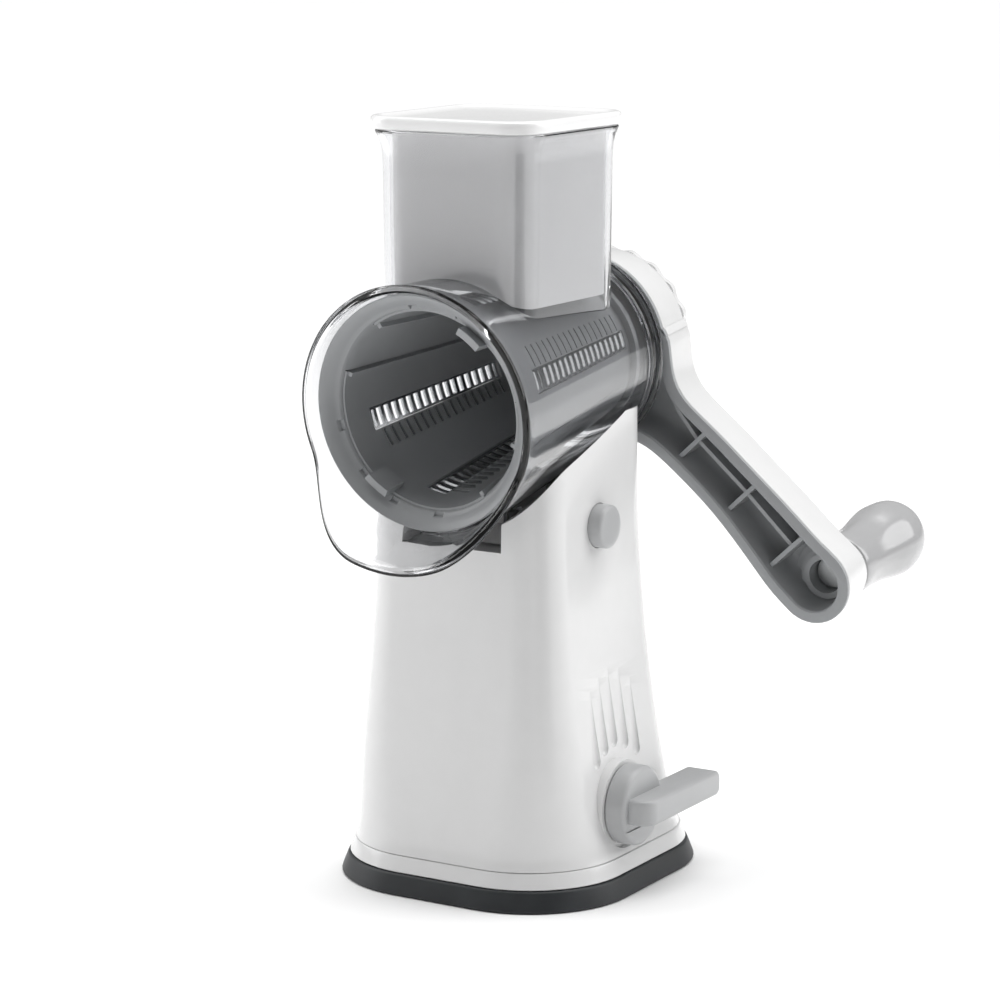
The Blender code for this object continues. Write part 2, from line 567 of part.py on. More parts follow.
def make_crank(looks, axis):
    shell = arm_solid("crank_shell", 0, SHELL_S0, SHELL_S1, axis, looks["white"])
    cut(shell, arm_solid("cutter_shell_inside", -SHELL_WALL, SHELL_S0 - 5, SHELL_S1 - 2.5, axis))
    join(shell, rod("cutter_hub_socket", 18.0, 122.0, SHELL_S1 - 1, "Y", (0, 0, 0), None, axis, 40))
    cut(shell, rod("cutter_socket_bore", BOSS_R + GAP, 120, BOSS_END + 1, "Y", (0, 0, 0), None, axis, 40))
    end_x, end_z = arm_place(ARM_LENGTH)
    cut(shell, rod("cutter_axle_hole", 5.8, 140, 160, "Y", (end_x, 0, end_z), None, axis, 24))

    inset = -SHELL_WALL - GAP
    liner = arm_solid("crank_liner", inset, LINER_S0, SHELL_S1 - 2.5 - GAP, axis, looks["grey"])
    join(liner, arm_solid("cutter_liner_rim", 0, LINER_S0, LINER_S0 + LINER_RIM, axis))
    pocket = arm_solid("cutter_liner_pocket", inset - 2.6, LINER_S0 - 5, LINER_FLOOR, axis)
    for tag, along in enumerate((62, 92, 121)):
        place = Vector(arm_place(along))
        turn = math.radians(ARM_ANGLE)
        axis_dir = Vector((math.cos(turn), math.sin(turn)))
        side = Vector((-axis_dir.y, axis_dir.x))
        ends = [place - axis_dir + side * 20, place + axis_dir + side * 20,
                place + axis_dir - side * 20, place - axis_dir - side * 20]
        cut(pocket, loft(f"cutter_rib_{tag}", [[(c.x, s, c.y) for c in ends] for s in (LINER_S0 + 4, 150)],
                         None, axis))
    boss_ring = rod("cutter_axle_ring", 11.5, LINER_FLOOR - 3, 150, "Y", (end_x, 0, end_z), None, axis, 32)
    hub_ring = rod("cutter_hub_ring", 21.0, LINER_S0 - 10, 150, "Y", (0, 0, 0), None, axis, 40)
    cut(pocket, boss_ring, hub_ring)
    cut(liner, pocket)
    cut(liner, rod("cutter_liner_hub", 18.0 + GAP, 110, 160, "Y", (0, 0, 0), None, axis, 40))
    cut(liner, rod("cutter_liner_axle", 7.2, 110, 160, "Y", (end_x, 0, end_z), None, axis, 28))

    cap = [[radius_point(a, CAP_R + 0.7 * math.cos(math.radians(20 * a)), s)
            for a in range(0, 360, 4)] for s in (SHELL_S1 + GAP, SHELL_S1 + 2.6)]
    cap.append([radius_point(a, CAP_R - 2.2, SHELL_S1 + 4.2) for a in range(0, 360, 4)])
    loft("hub_cap", cap, looks["white"], axis)

    head, seat = SHELL_S1 - 5.4, SHELL_S1 - 2.5 - GAP
    axle = [(0, head), (6.6, head), (6.6, seat), (5.5, seat), (5.5, GRIP_S0 + 40), (4.6, GRIP_S0 + 41),
            (0, GRIP_S0 + 41)]
    turned("grip_axle", axle, looks["steel"], axis, (end_x, 0, end_z), segments=28)
    grip_parent = bpy.data.objects.new("grip_axis", None)
    bpy.context.collection.objects.link(grip_parent)
    grip_parent.parent = axis
    grip_parent.location = Vector((end_x, GRIP_S0, end_z)) * MM
    bore = [(0, 42.5), (5.9, 42.5), (5.9, 0)]
    profile = bore[::-1][:1] + GRIP_PROFILE + bore[:2]
    turned("grip", profile, looks["light_grey"], grip_parent, segments=40)


def make_pusher(looks):
    def loop(inset, height):
        outline = rounded_rect(HOPPER_X - 3.5 - inset, HOPPER_Y - 3.5 - inset, HOPPER_R - 3.0 - inset * 0.7,
                               HOPPER_CY)
        return [(x, y, height) for x, y in outline]
    body = loft("pusher_body", [loop(0.5, 225), loop(0.2, 270), loop(0, FLANGE_Z0 - GAP)], looks["white"])
    arch = rod("cutter_pusher_arch", PUSHER_ARCH, -90, 60, "Y", (0, 0, PUSHER_BOTTOM - PUSHER_ARCH),
               segments=180)
    cut(body, arch)
    hollow = loft("cutter_pusher_hollow", [loop(2.6, 220), loop(2.2, 320)])
    floor = rod("cutter_pusher_floor", PUSHER_ARCH + 2.4, -90, 60, "Y", (0, 0, PUSHER_BOTTOM - PUSHER_ARCH),
                segments=180)
    cut(hollow, floor)
    cut(body, hollow)

    def flange(inset, height):
        outline = rounded_rect(FLANGE_X - inset, FLANGE_Y - inset, FLANGE_R - inset, FLANGE_CY)
        return [(x, y, height) for x, y in outline]
    top = FLANGE_Z1
    cap = [flange(12.0, top - 1.2), flange(5.0, top - 0.9), flange(3.2, top - 0.1), flange(2.4, top),
           flange(0.8, top - 0.5), flange(0, top - 1.4), flange(0.1, FLANGE_Z0 + 0.4),
           flange(0.6, FLANGE_Z0)]
    plug = [[(x, y, FLANGE_Z0) for x, y, _ in loop(2.6, 0)], [(x, y, 297) for x, y, _ in loop(2.6, 0)],
            [(x, y, 297) for x, y, _ in loop(4.6, 0)], [(x, y, FLANGE_Z0 + 1.2) for x, y, _ in loop(4.6, 0)]]
    loft("pusher_cap", cap + plug, looks["white"])


def make_lever(looks):
    pivot = bpy.data.objects.new("lever_axis", None)
    bpy.context.collection.objects.link(pivot)
    pivot.location = Vector((0, SIDE_Y, LEVER_Z)) * MM
    hub = [(0, LEVER_BACK), (LEVER_R - 0.6, LEVER_BACK), (LEVER_R, LEVER_BACK + 0.6),
           (LEVER_R, LEVER_FACE - 1.0), (LEVER_R - 1.0, LEVER_FACE), (0, LEVER_FACE)]
    lever = turned("suction_lever", hub, looks["light_grey"], pivot, axis="X", segments=48)
    bar = []
    for x, shrink in ((LEVER_BACK + 4, 0.0), (LEVER_BAR_FACE - 1.4, 0.0), (LEVER_BAR_FACE, 1.2)):
        outline = rounded_rect((LEVER_REACH + 12.5) / 2 - shrink, 5.2 - shrink, 4.6 - shrink, 0, 4)
        bar.append([(x, y + (LEVER_REACH - 12.5) / 2, z) for y, z in outline])
    join(lever, loft("cutter_lever_bar", bar, None, pivot))
    shaft_end = -27.0
    shaft = rod("cam_shaft", 5.5, shaft_end, LEVER_BACK - GAP, "X", (0, 0, 0), looks["grey"], pivot, 28)
    join(shaft, rod("cutter_cam_lobe", CAM_R, -5, 5, "X", (0, CAM_THROW, 0), None, pivot, 40))
    groove = turned("cutter_clip_groove", [(4.4, -25.9), (8, -25.9), (8, -24.5), (4.4, -24.5)], None, pivot,
                    axis="X", segments=24)
    cut(shaft, groove)
    clip = turned("cam_clip", [(4.7, -25.7), (8.2, -25.7), (8.2, -24.7), (4.7, -24.7)], looks["steel"], pivot,
                  axis="X", segments=24)
    cut(clip, box("cutter_clip_gap", (-30, -2.4, -12), (-20, 2.4, -2), None, pivot))


def make_lift(looks):
    foot = PAD_FLOOR + GAP
    stud = [(0, foot), (8.0, foot), (8.0, foot + 1.8), (4.0, foot + 2.6), (4.0, 19.7), (0, 19.7)]
    turned("lift_stud", stud, looks["steel"], None, (0, SIDE_Y, 0), "Z", 24)
    top = LEVER_Z + CAM_R + YOKE_CLEAR
    yoke = box("lift_yoke", (-4, SIDE_Y - 16, 20), (4, SIDE_Y + 16, top + 4), looks["grey"])
    cut(yoke, box("cutter_yoke_window", (-6, SIDE_Y - 12.5, 24.5), (6, SIDE_Y + 12.5, top)))


def make_button(looks):
    button = [(0, 35.3), (3.5, 35.3), (3.5, 37.4), (10.2, 37.4), (10.2, 38.9), (BUTTON_R, 38.9),
              (BUTTON_R, BUTTON_FACE - 0.9), (BUTTON_R - 0.9, BUTTON_FACE), (0, BUTTON_FACE)]
    turned("release_button", button, looks["light_grey"], None, (0, SIDE_Y, BUTTON_Z), "X", 40)
    y0, y1 = SIDE_Y - 4, SIDE_Y + 4
    bar = box("latch_bar", (-27, y0, 131), (35, y1, 135.5), looks["grey"])
    join(bar, box("cutter_latch_upright", (30, y0, 131), (35, y1, 152)))
    join(bar, box("cutter_latch_hook", (-27, y0, 131), (-22, y1, 149)))
    join(bar, box("cutter_latch_nose", (-24, y0, 144), (-16.9, y1, 149)))

    coil = bpy.data.curves.new("button_spring", "CURVE")
    coil.dimensions = "3D"
    coil.bevel_depth = 0.45 * MM
    coil.bevel_resolution = 0
    coil.use_fill_caps = True
    turns, per_turn, start, end, radius = 5, 9, -27.8, -39.0, 2.4
    path = coil.splines.new("POLY")
    path.points.add(turns * per_turn)
    for index in range(turns * per_turn + 1):
        turn = 2 * math.pi * index / per_turn
        x = start + (end - start) * index / (turns * per_turn)
        path.points[index].co = (x * MM, (SIDE_Y + radius * math.cos(turn)) * MM,
                                 (133.2 + radius * math.sin(turn)) * MM, 1)
    spring = bpy.data.objects.new("button_spring", coil)
    coil.materials.append(looks["steel"])
    bpy.context.collection.objects.link(spring)


def weld_results():
    for item in bpy.data.objects:
        if any(change.type == "BOOLEAN" for change in item.modifiers) and not item.hide_render:
            weld(item)


def main():
    clear_scene()
    looks = make_materials()
    axis = bpy.data.objects.new("drum_axis", None)
    bpy.context.collection.objects.link(axis)
    axis.location = Vector((0, DRUM_Y, DRUM_Z)) * MM
    axis.rotation_euler = (math.radians(TILT), 0, 0)
    make_base(looks)
    make_base_screws(looks)
    make_tower(looks, axis)
    make_housing(looks, axis)
    make_drum(looks, axis)
    make_crank(looks, axis)
    make_pusher(looks)
    make_lever(looks)
    make_lift(looks)
    make_button(looks)
    weld_results()


main()
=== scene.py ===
import json
import math

import bmesh
import bpy
from mathutils import Matrix, Vector


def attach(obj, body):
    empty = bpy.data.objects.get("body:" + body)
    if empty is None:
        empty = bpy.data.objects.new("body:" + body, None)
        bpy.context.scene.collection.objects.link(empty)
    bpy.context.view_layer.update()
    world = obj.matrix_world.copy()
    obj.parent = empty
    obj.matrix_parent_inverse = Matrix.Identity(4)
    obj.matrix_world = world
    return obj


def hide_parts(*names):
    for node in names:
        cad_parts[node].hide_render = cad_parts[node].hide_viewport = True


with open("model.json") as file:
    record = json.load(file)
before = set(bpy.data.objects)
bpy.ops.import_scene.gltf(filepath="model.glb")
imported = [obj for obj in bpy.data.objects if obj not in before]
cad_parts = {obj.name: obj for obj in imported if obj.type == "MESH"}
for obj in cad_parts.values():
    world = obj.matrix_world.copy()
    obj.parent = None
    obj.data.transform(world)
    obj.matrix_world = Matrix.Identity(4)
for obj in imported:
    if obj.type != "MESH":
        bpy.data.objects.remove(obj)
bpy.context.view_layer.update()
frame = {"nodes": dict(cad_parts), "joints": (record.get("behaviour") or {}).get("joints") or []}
joints = {joint["name"]: joint for joint in frame["joints"]}
mm = 0.001  # every size below is in millimetres

drumCentre = Vector(joints["crank_spin"]["pos_m"])
drumAxis = Vector(joints["crank_spin"]["axis"])
drumTilt = math.atan2(drumAxis.z, drumAxis.y)
drumPlace = Matrix.Translation(drumCentre) @ Matrix.Rotation(drumTilt - math.radians(90), 4, "X")
gripCentre = drumPlace.inverted() @ Vector(joints["grip_spin"]["pos_m"])
leverCentre = Vector(joints["suction_lever_turn"]["pos_m"])


def deselectAll():
    if bpy.context.object and bpy.context.object.mode == "EDIT":
        bpy.ops.object.mode_set(mode="OBJECT")
    bpy.ops.object.select_all(action="DESELECT")


def grab(*pieces):
    deselectAll()
    for piece in pieces:
        piece.select_set(True)
    bpy.context.view_layer.objects.active = pieces[0]


def startEdit(piece):
    grab(piece)
    bpy.ops.object.mode_set(mode="EDIT")
    bpy.ops.mesh.select_mode(type="VERT")
    bpy.ops.mesh.select_all(action="SELECT")


def stopEdit():
    bpy.ops.object.mode_set(mode="OBJECT")


def pick(kind, test):
    # selects the parts of the mesh in edit mode that pass the test
    bpy.ops.mesh.select_mode(type=kind)
    bpy.ops.mesh.select_all(action="DESELECT")
    shape = bmesh.from_edit_mesh(bpy.context.object.data)
    parts = {"VERT": shape.verts, "EDGE": shape.edges, "FACE": shape.faces}[kind]
    for part in parts:
        if test(part):
            part.select_set(True)
    bmesh.update_edit_mesh(bpy.context.object.data)


def atHeight(height):
    # true for an edge that lies at a height of the piece
    return lambda edge: all(abs(v.co.z - height * mm) < 0.01 * mm for v in edge.verts)


def settle(piece, place=None):
    grab(piece)
    if place is not None:
        piece.matrix_world = place @ piece.matrix_world
    bpy.ops.object.transform_apply(location=True, rotation=True, scale=True)
    return piece


def closeUp(piece):
    startEdit(piece)
    bpy.ops.mesh.remove_doubles(threshold=0.002 * mm)
    bpy.ops.mesh.normals_make_consistent(inside=False)
    stopEdit()


def tracePath(name, points, filled=False):
    # a vertex drawn out from point to point
    deselectAll()
    bpy.ops.mesh.primitive_plane_add(size=0.01 * mm)
    piece = bpy.context.object
    piece.name = name
    bpy.ops.object.mode_set(mode="EDIT")
    bpy.ops.mesh.select_all(action="SELECT")
    bpy.ops.mesh.merge(type="CENTER")
    corners = [Vector(point) * mm for point in points]
    bpy.ops.transform.translate(value=corners[0])
    for before, after in zip(corners, corners[1:]):
        bpy.ops.mesh.extrude_region_move(TRANSFORM_OT_translate={"value": after - before})
    if filled:
        bpy.ops.mesh.select_all(action="SELECT")
        bpy.ops.mesh.edge_face_add()
    stopEdit()
    return piece


def turned(name, profile, steps=96, sweep=360.0, start=0.0):
    # spins a (radius, distance) profile about local Z; a part turn gives a filled sector
    whole = sweep >= 360
    path = [(radius, 0, along) for radius, along in profile]
    if whole and profile[0][0] > 0:
        path.append(path[0])
    piece = tracePath(name, path, filled=not whole)
    piece.rotation_euler.z = math.radians(start)
    settle(piece)
    startEdit(piece)
    bpy.ops.mesh.spin(steps=steps, angle=math.radians(sweep), center=(0, 0, 0), axis=(0, 0, 1))
    stopEdit()
    closeUp(piece)
    return piece


def rod(name, radius, low, high, place=None, steps=64):
    piece = turned(name, [(0, low), (radius, low), (radius, high), (0, high)], steps)
    return settle(piece, place)


def block(name, low, high):
    deselectAll()
    middle = [(a + b) / 2 * mm for a, b in zip(low, high)]
    bpy.ops.mesh.primitive_cube_add(size=1, location=middle)
    piece = bpy.context.object
    piece.name = name
    piece.scale = [(b - a) * mm for a, b in zip(low, high)]
    return settle(piece)


def roundedRing(halfX, halfY, radius, centreY, height, corner=10):
    # outline of a rounded rectangle: a plane with its corners bevelled and its face removed
    deselectAll()
    bpy.ops.mesh.primitive_plane_add(size=2, location=(0, centreY * mm, height * mm))
    ring = bpy.context.object
    ring.scale = (halfX * mm, halfY * mm, 1)
    settle(ring)
    startEdit(ring)
    bpy.ops.mesh.bevel(offset=radius * mm, offset_type="OFFSET", segments=corner, affect="VERTICES")
    bpy.ops.mesh.delete(type="ONLY_FACE")
    stopEdit()
    return ring


def skinRings(name, rings, low, high):
    # joins flat rings into one closed solid, with a face at each end
    grab(*rings)
    bpy.ops.object.join()
    piece = bpy.context.object
    piece.name = name
    startEdit(piece)
    bpy.ops.mesh.bridge_edge_loops()
    for end in (low, high):
        pick("EDGE", atHeight(end))
        bpy.ops.mesh.edge_face_add()
    stopEdit()
    closeUp(piece)
    return settle(piece)


def loft(name, sections, corner=10):
    # sections are (halfX, halfY, radius, centreY, height), from the lowest up
    rings = [roundedRing(*section, corner) for section in sections]
    return skinRings(name, rings, sections[0][4], sections[-1][4])


def raised(name, outline, low, high):
    # solid from an outline of (right, up) points in the plane across the drum's axis
    piece = tracePath(name, [(right, -up, low) for right, up in outline], filled=True)
    startEdit(piece)
    bpy.ops.mesh.extrude_region_move(TRANSFORM_OT_translate={"value": (0, 0, (high - low) * mm)})
    stopEdit()
    closeUp(piece)
    return piece


def soften(piece, width, segments=2, angle=40):
    change = piece.modifiers.new("soften", "BEVEL")
    change.width = width * mm
    change.segments = segments
    change.limit_method = "ANGLE"
    change.angle_limit = math.radians(angle)
    grab(piece)
    bpy.ops.object.modifier_apply(modifier=change.name)


def combine(piece, cutters, operation, solver="EXACT"):
    for cutter in cutters:
        change = piece.modifiers.new("cut", "BOOLEAN")
        change.operation = operation
        change.object = cutter
        change.solver = solver
        grab(piece)
        bpy.ops.object.modifier_apply(modifier=change.name)
        bpy.data.objects.remove(cutter)
    return piece


def carve(piece, *cutters, solver="EXACT"):
    return combine(piece, cutters, "DIFFERENCE", solver)


def fuse(piece, *parts, solver="EXACT"):
    return combine(piece, parts, "UNION", solver)


def joinLoose(name, parts):
    # several separate solids as one object
    grab(*parts)
    bpy.ops.object.join()
    parts[0].name = name
    return parts[0]


def finishPiece(piece, name, body, surface, slotName, *nodes, smooth=35):
    closeUp(piece)
    settle(piece)
    bpy.ops.object.shade_smooth_by_angle(angle=math.radians(smooth))
    piece.name = name
    piece.data.materials.clear()
    piece.data.materials.append(surface)
    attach(piece, body)
    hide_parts(*nodes)
    return piece


def linearColour(code):
    parts = [int(code[at:at + 2], 16) / 255 for at in (1, 3, 5)]
    return [c / 12.92 if c <= 0.04045 else ((c + 0.055) / 1.055) ** 2.4 for c in parts] + [1.0]


def addNode(tree, kind, settings=None, links=None):
    node = tree.nodes.new(kind)
    for key, value in (settings or {}).items():
        if isinstance(key, str) and hasattr(node, key):
            setattr(node, key, value)
        else:
            node.inputs[key].default_value = value
    for key, source in (links or {}).items():
        tree.links.new(source, node.inputs[key])
    return node


def newSurface(name, **sockets):
    surface = bpy.data.materials.new(name)
    surface.use_nodes = True
    tree = surface.node_tree
    shader = tree.nodes["Principled BSDF"]
    for key, value in sockets.items():
        shader.inputs[key.replace("_", " ")].default_value = value
    return surface, tree, shader


def mouldedSkin(name, shade, deepShade, roughness, ripple=9.0, bump=0.02, coat=0.0):
    # injection-moulded ABS: smooth, with slow ripples from sinking and a faint change of gloss
    surface, tree, shader = newSurface(name, IOR=1.53, Coat_Weight=coat, Coat_Roughness=0.06)
    place = addNode(tree, "ShaderNodeTexCoord").outputs["Object"]
    slow = addNode(tree, "ShaderNodeTexNoise", {"Scale": 1 / (ripple * mm), "Detail": 2.0},
                   {"Vector": place}).outputs["Fac"]
    fine = addNode(tree, "ShaderNodeTexNoise", {"Scale": 1 / (1.1 * mm), "Detail": 3.0},
                   {"Vector": place}).outputs["Fac"]
    colour = addNode(tree, "ShaderNodeMix", {"data_type": "RGBA", 6: linearColour(deepShade),
                                             7: linearColour(shade)}, {0: slow})
    tree.links.new(colour.outputs[2], shader.inputs["Base Color"])
    gloss = addNode(tree, "ShaderNodeMapRange", {"To Min": roughness * 0.85, "To Max": roughness * 1.2},
                    {"Value": fine})
    tree.links.new(gloss.outputs["Result"], shader.inputs["Roughness"])
    broad = addNode(tree, "ShaderNodeBump", {"Strength": 0.25, "Distance": bump * mm}, {"Height": slow})
    grain = addNode(tree, "ShaderNodeBump", {"Strength": 0.12, "Distance": 0.01 * mm},
                    {"Height": fine, "Normal": broad.outputs["Normal"]})
    tree.links.new(grain.outputs["Normal"], shader.inputs["Normal"])
    return surface


def clearSkin(name):
    # clear SAN, moulded and polished: see-through, with grey shade painted into its colour where the eye grazes
    # the wall
    surface, tree, shader = newSurface(name, IOR=1.45, Transmission_Weight=1.0, Roughness=0.015)
    facing = addNode(tree, "ShaderNodeLayerWeight", {"Blend": 0.2}).outputs["Facing"]
    # painted shade: the colour turns grey at grazing angles and stands in for the dark edges of the clear walls
    grazingPaintedShade = addNode(tree, "ShaderNodeMix", {"data_type": "RGBA", 6: linearColour("#FBFBFC"),
                                           7: linearColour("#B9BDC1")}, {0: facing})
    tree.links.new(grazingPaintedShade.outputs[2], shader.inputs["Base Color"])
    place = addNode(tree, "ShaderNodeTexCoord").outputs["Object"]
    flow = addNode(tree, "ShaderNodeTexNoise", {"Scale": 1 / (16 * mm), "Detail": 1.0}, {"Vector": place})
    bump = addNode(tree, "ShaderNodeBump", {"Strength": 0.15, "Distance": 0.05 * mm},
                   {"Height": flow.outputs["Fac"]})
    tree.links.new(bump.outputs["Normal"], shader.inputs["Normal"])
    return surface


def rubberSkin(name):
    # moulded black TPR: soft sheen, fine pebbling and a little dust
    surface, tree, shader = newSurface(name, IOR=1.5, Specular_IOR_Level=0.45)
    place = addNode(tree, "ShaderNodeTexCoord").outputs["Object"]
    dust = addNode(tree, "ShaderNodeTexNoise", {"Scale": 1 / (14 * mm), "Detail": 4.0}, {"Vector": place})
    grain = addNode(tree, "ShaderNodeTexNoise", {"Scale": 1 / (0.9 * mm), "Detail": 2.0}, {"Vector": place})
    colour = addNode(tree, "ShaderNodeMix", {"data_type": "RGBA", 6: linearColour("#1E2022"),
                                             7: linearColour("#34373A")}, {0: dust.outputs["Fac"]})
    tree.links.new(colour.outputs[2], shader.inputs["Base Color"])
    gloss = addNode(tree, "ShaderNodeMapRange", {"To Min": 0.38, "To Max": 0.62},
                    {"Value": dust.outputs["Fac"]})
    tree.links.new(gloss.outputs["Result"], shader.inputs["Roughness"])
    bump = addNode(tree, "ShaderNodeBump", {"Strength": 0.3, "Distance": 0.04 * mm},
                   {"Height": grain.outputs["Fac"]})
    tree.links.new(bump.outputs["Normal"], shader.inputs["Normal"])
    return surface


def steelSkin(name, shade, roughness, streak):
    # stainless sheet, brushed along its length: fine streaks in tone and gloss
    surface, tree, shader = newSurface(name, Metallic=1.0)
    place = addNode(tree, "ShaderNodeTexCoord").outputs["Object"]
    stretch = addNode(tree, "ShaderNodeMapping", {"Scale": (1 / (streak * mm), 1 / (12 * streak * mm),
                                                            1 / (streak * mm))}, {"Vector": place})
    brush = addNode(tree, "ShaderNodeTexNoise", {"Scale": 1.0, "Detail": 3.0},
                    {"Vector": stretch.outputs["Vector"]}).outputs["Fac"]
    colour = addNode(tree, "ShaderNodeMix", {"data_type": "RGBA", 6: linearColour("#9A9C9E"),
                                             7: linearColour(shade)}, {0: brush})
    tree.links.new(colour.outputs[2], shader.inputs["Base Color"])
    gloss = addNode(tree, "ShaderNodeMapRange", {"To Min": roughness * 0.8, "To Max": roughness * 1.3},
                    {"Value": brush})
    tree.links.new(gloss.outputs["Result"], shader.inputs["Roughness"])
    bump = addNode(tree, "ShaderNodeBump", {"Strength": 0.2, "Distance": 0.01 * mm}, {"Height": brush})
    tree.links.new(bump.outputs["Normal"], shader.inputs["Normal"])
    return surface


whiteAbs = mouldedSkin("glossyWhiteAbs", "#E4E4E4", "#E0E0E0", 0.24, coat=0.2)
pusherAbs = mouldedSkin("whiteAbsPusher", "#FAFAFA", "#F8F8F8", 0.2, coat=0.2)
greyAbs = mouldedSkin("satinGreyAbs", "#A0A2A4", "#9C9EA0", 0.36)
paleAbs = mouldedSkin("paleGreyAbs", "#B4B5B6", "#B0B1B2", 0.3)
gripAbs = mouldedSkin("glossyGreyAbs", "#ACACAD", "#A8A8A9", 0.16, coat=0.3)
innerNylon = mouldedSkin("innerNylon", "#8E9194", "#86898C", 0.45)
clearSan = clearSkin("clearSan")
blackRubber = rubberSkin("blackTpr")
bladeSteel = steelSkin("stampedStainless", "#D9DADB", 0.18, 0.5)
screwSteel = steelSkin("zincPlatedSteel", "#C4C6C6", 0.3, 0.3)
print("materials ready")


# the tower and its base
base = {"halfX": 63.65, "halfY": 68.0, "radius": 45.0, "corner": 14,
        "padSteps": [(0.8, 0.0), (0.25, 0.25), (0.0, 0.8), (0.6, 2.5), (1.6, 5.0), (2.5, 7.3), (2.8, 7.9),
                     (3.3, 8.2)],
        "padFloor": 2.6, "padRim": 5.7,
        "skirtSteps": [(3.9, 8.5), (3.5, 8.9), (4.6, 11.9), (5.3, 14.2), (5.6, 14.75), (6.0, 14.9)],
        "skirtHole": 13.0, "skirtRecess": 10.2, "recessTop": 12.1}


def baseSections(steps):
    return [(base["halfX"] - inset, base["halfY"] - inset, base["radius"] - inset, 0, height)
            for inset, height in steps]


def makeBase():
    pad = loft("pad", baseSections(base["padSteps"]), base["corner"])
    startEdit(pad)
    top = base["padSteps"][-1][1]
    pick("FACE", lambda f: len(f.verts) > 8 and f.calc_center_median().z > (top - 0.01) * mm)
    bpy.ops.mesh.inset(thickness=base["padRim"] * mm)
    bpy.ops.mesh.extrude_region_move(TRANSFORM_OT_translate={"value": (0, 0, (base["padFloor"] - top) * mm)})
    pick("FACE", lambda f: len(f.verts) > 8 and f.calc_center_median().z < 0.01 * mm)
    bpy.ops.mesh.inset(thickness=9 * mm)
    bpy.ops.mesh.inset(thickness=1.2 * mm, depth=-0.7 * mm)
    bpy.ops.mesh.inset(thickness=6 * mm, depth=-0.5 * mm)
    stopEdit()
    finishPiece(pad, "suctionFoot", "root", blackRubber, "black_rubber", "suction_pad")

    skirt = loft("skirt", baseSections(base["skirtSteps"]), base["corner"])
    recessSteps = [(base["skirtRecess"], 8.0), (base["skirtRecess"], base["recessTop"])]
    recess = loft("recess", baseSections(recessSteps), base["corner"])
    hole = loft("hole", baseSections([(base["skirtHole"], 8.0), (base["skirtHole"], 16.0)]), base["corner"])
    carve(skirt, recess, hole)
    finishPiece(skirt, "whiteSkirt", "root", whiteAbs, "white_plastic", "base_skirt")
    print("base ready")


tower = {"sections": [(15.2, 57.6, 61.9, 38.9, -0.4), (19.0, 55.9, 60.3, 36.5, -1.0),
                      (26.0, 54.2, 58.4, 33.0, -2.0), (35.0, 52.6, 56.2, 29.5, -3.4),
                      (50.0, 50.4, 53.0, 25.0, -5.2), (84.0, 46.4, 48.2, 20.0, -7.2),
                      (115.0, 44.0, 45.2, 18.0, -7.8), (150.0, 42.3, 43.6, 17.0, -8.0),
                      (215.0, 41.6, 42.6, 16.0, -8.0)],  # height, half sizes, corner radius, centre in Y
         "bottom": 15.2, "top": 190.5, "rings": 44, "wall": 2.6, "corner": 12,
         "slot": (22.5, 141.2, 20.0),  # half width, floor, back of the slot that takes the housing's foot
         "posts": [(x, y) for x in (-36, 36) for y in (-39, 36)], "postRadius": 5.2, "postHole": 2.1,
         "leverBoss": 17.6, "leverSeat": 18.1, "buttonHole": 9.1, "buttonHeight": 147.3, "shaftHole": 5.9,
         "flutes": [(-23.3, 51.0, 85.5), (-16.0, 55.0, 90.0), (-8.2, 57.0, 93.0), (0.4, 54.5, 91.0),
                    (9.0, 50.0, 85.0)],  # place in Y, bottom and top
         "fluteHalf": 3.1, "fluteDepth": 1.6, "fluteTip": 0.06}
barrel = {"radius": 50.4, "taper": 0.088, "wall": 2.5, "end": 119.5, "front": -5.7, "lipReach": 20.4,
          "lipFlat": 18.9, "lipSpan": 52.6, "lipFlare": 4.9, "lipStart": 12.0, "lipEnd": 50.0, "steps": 144,
          "bead": [(-1.0, 0.1), (-0.5, 0.0), (0.2, 0.05), (0.6, 0.35), (0.8, 0.9), (0.8, 2.1),
                   (0.6, 2.7), (0.3, 3.1), (0.1, 3.6), (0.0, 4.4)]}  # extra radius, distance behind the rim
saddle = {"radius": 54.3, "taper": 0.112}  # the cone in the tower's top in which the barrel lies


def barrelRadius(along):
    return barrel["radius"] - barrel["taper"] * along


def towerSection(height):
    # smooth curve through the named sections, at one height
    rows = tower["sections"]
    spot = max(i for i in range(len(rows) - 1) if rows[i][0] <= height or i == 0)
    low, high = rows[spot], rows[spot + 1]
    before, after = rows[max(spot - 1, 0)], rows[min(spot + 2, len(rows) - 1)]
    span = high[0] - low[0]
    t = (height - low[0]) / span
    values = []
    for k in range(1, 5):
        slopeLow = (high[k] - before[k]) / (high[0] - before[0])
        slopeHigh = (after[k] - low[k]) / (after[0] - low[0])
        values.append((2 * t ** 3 - 3 * t ** 2 + 1) * low[k] + (t ** 3 - 2 * t ** 2 + t) * span * slopeLow
                      + (3 * t ** 2 - 2 * t ** 3) * high[k] + (t ** 3 - t ** 2) * span * slopeHigh)
    return values


def towerSolid(name, inset, bottom, top):
    sections = []
    for ring in range(tower["rings"] + 1):
        height = bottom + (top - bottom) * (ring / tower["rings"]) ** 1.4
        halfX, halfY, radius, centreY = towerSection(max(height, tower["bottom"]))
        sections.append((halfX - inset, halfY - inset, radius - inset * 0.7, centreY, height))
    return loft(name, sections, tower["corner"])


def saddleCone(name, extra, low=-20, high=135):
    front, rear = (saddle["radius"] - saddle["taper"] * along + extra for along in (low, high))
    return settle(turned(name, [(0, low), (front, low), (rear, high), (0, high)], 128), drumPlace)


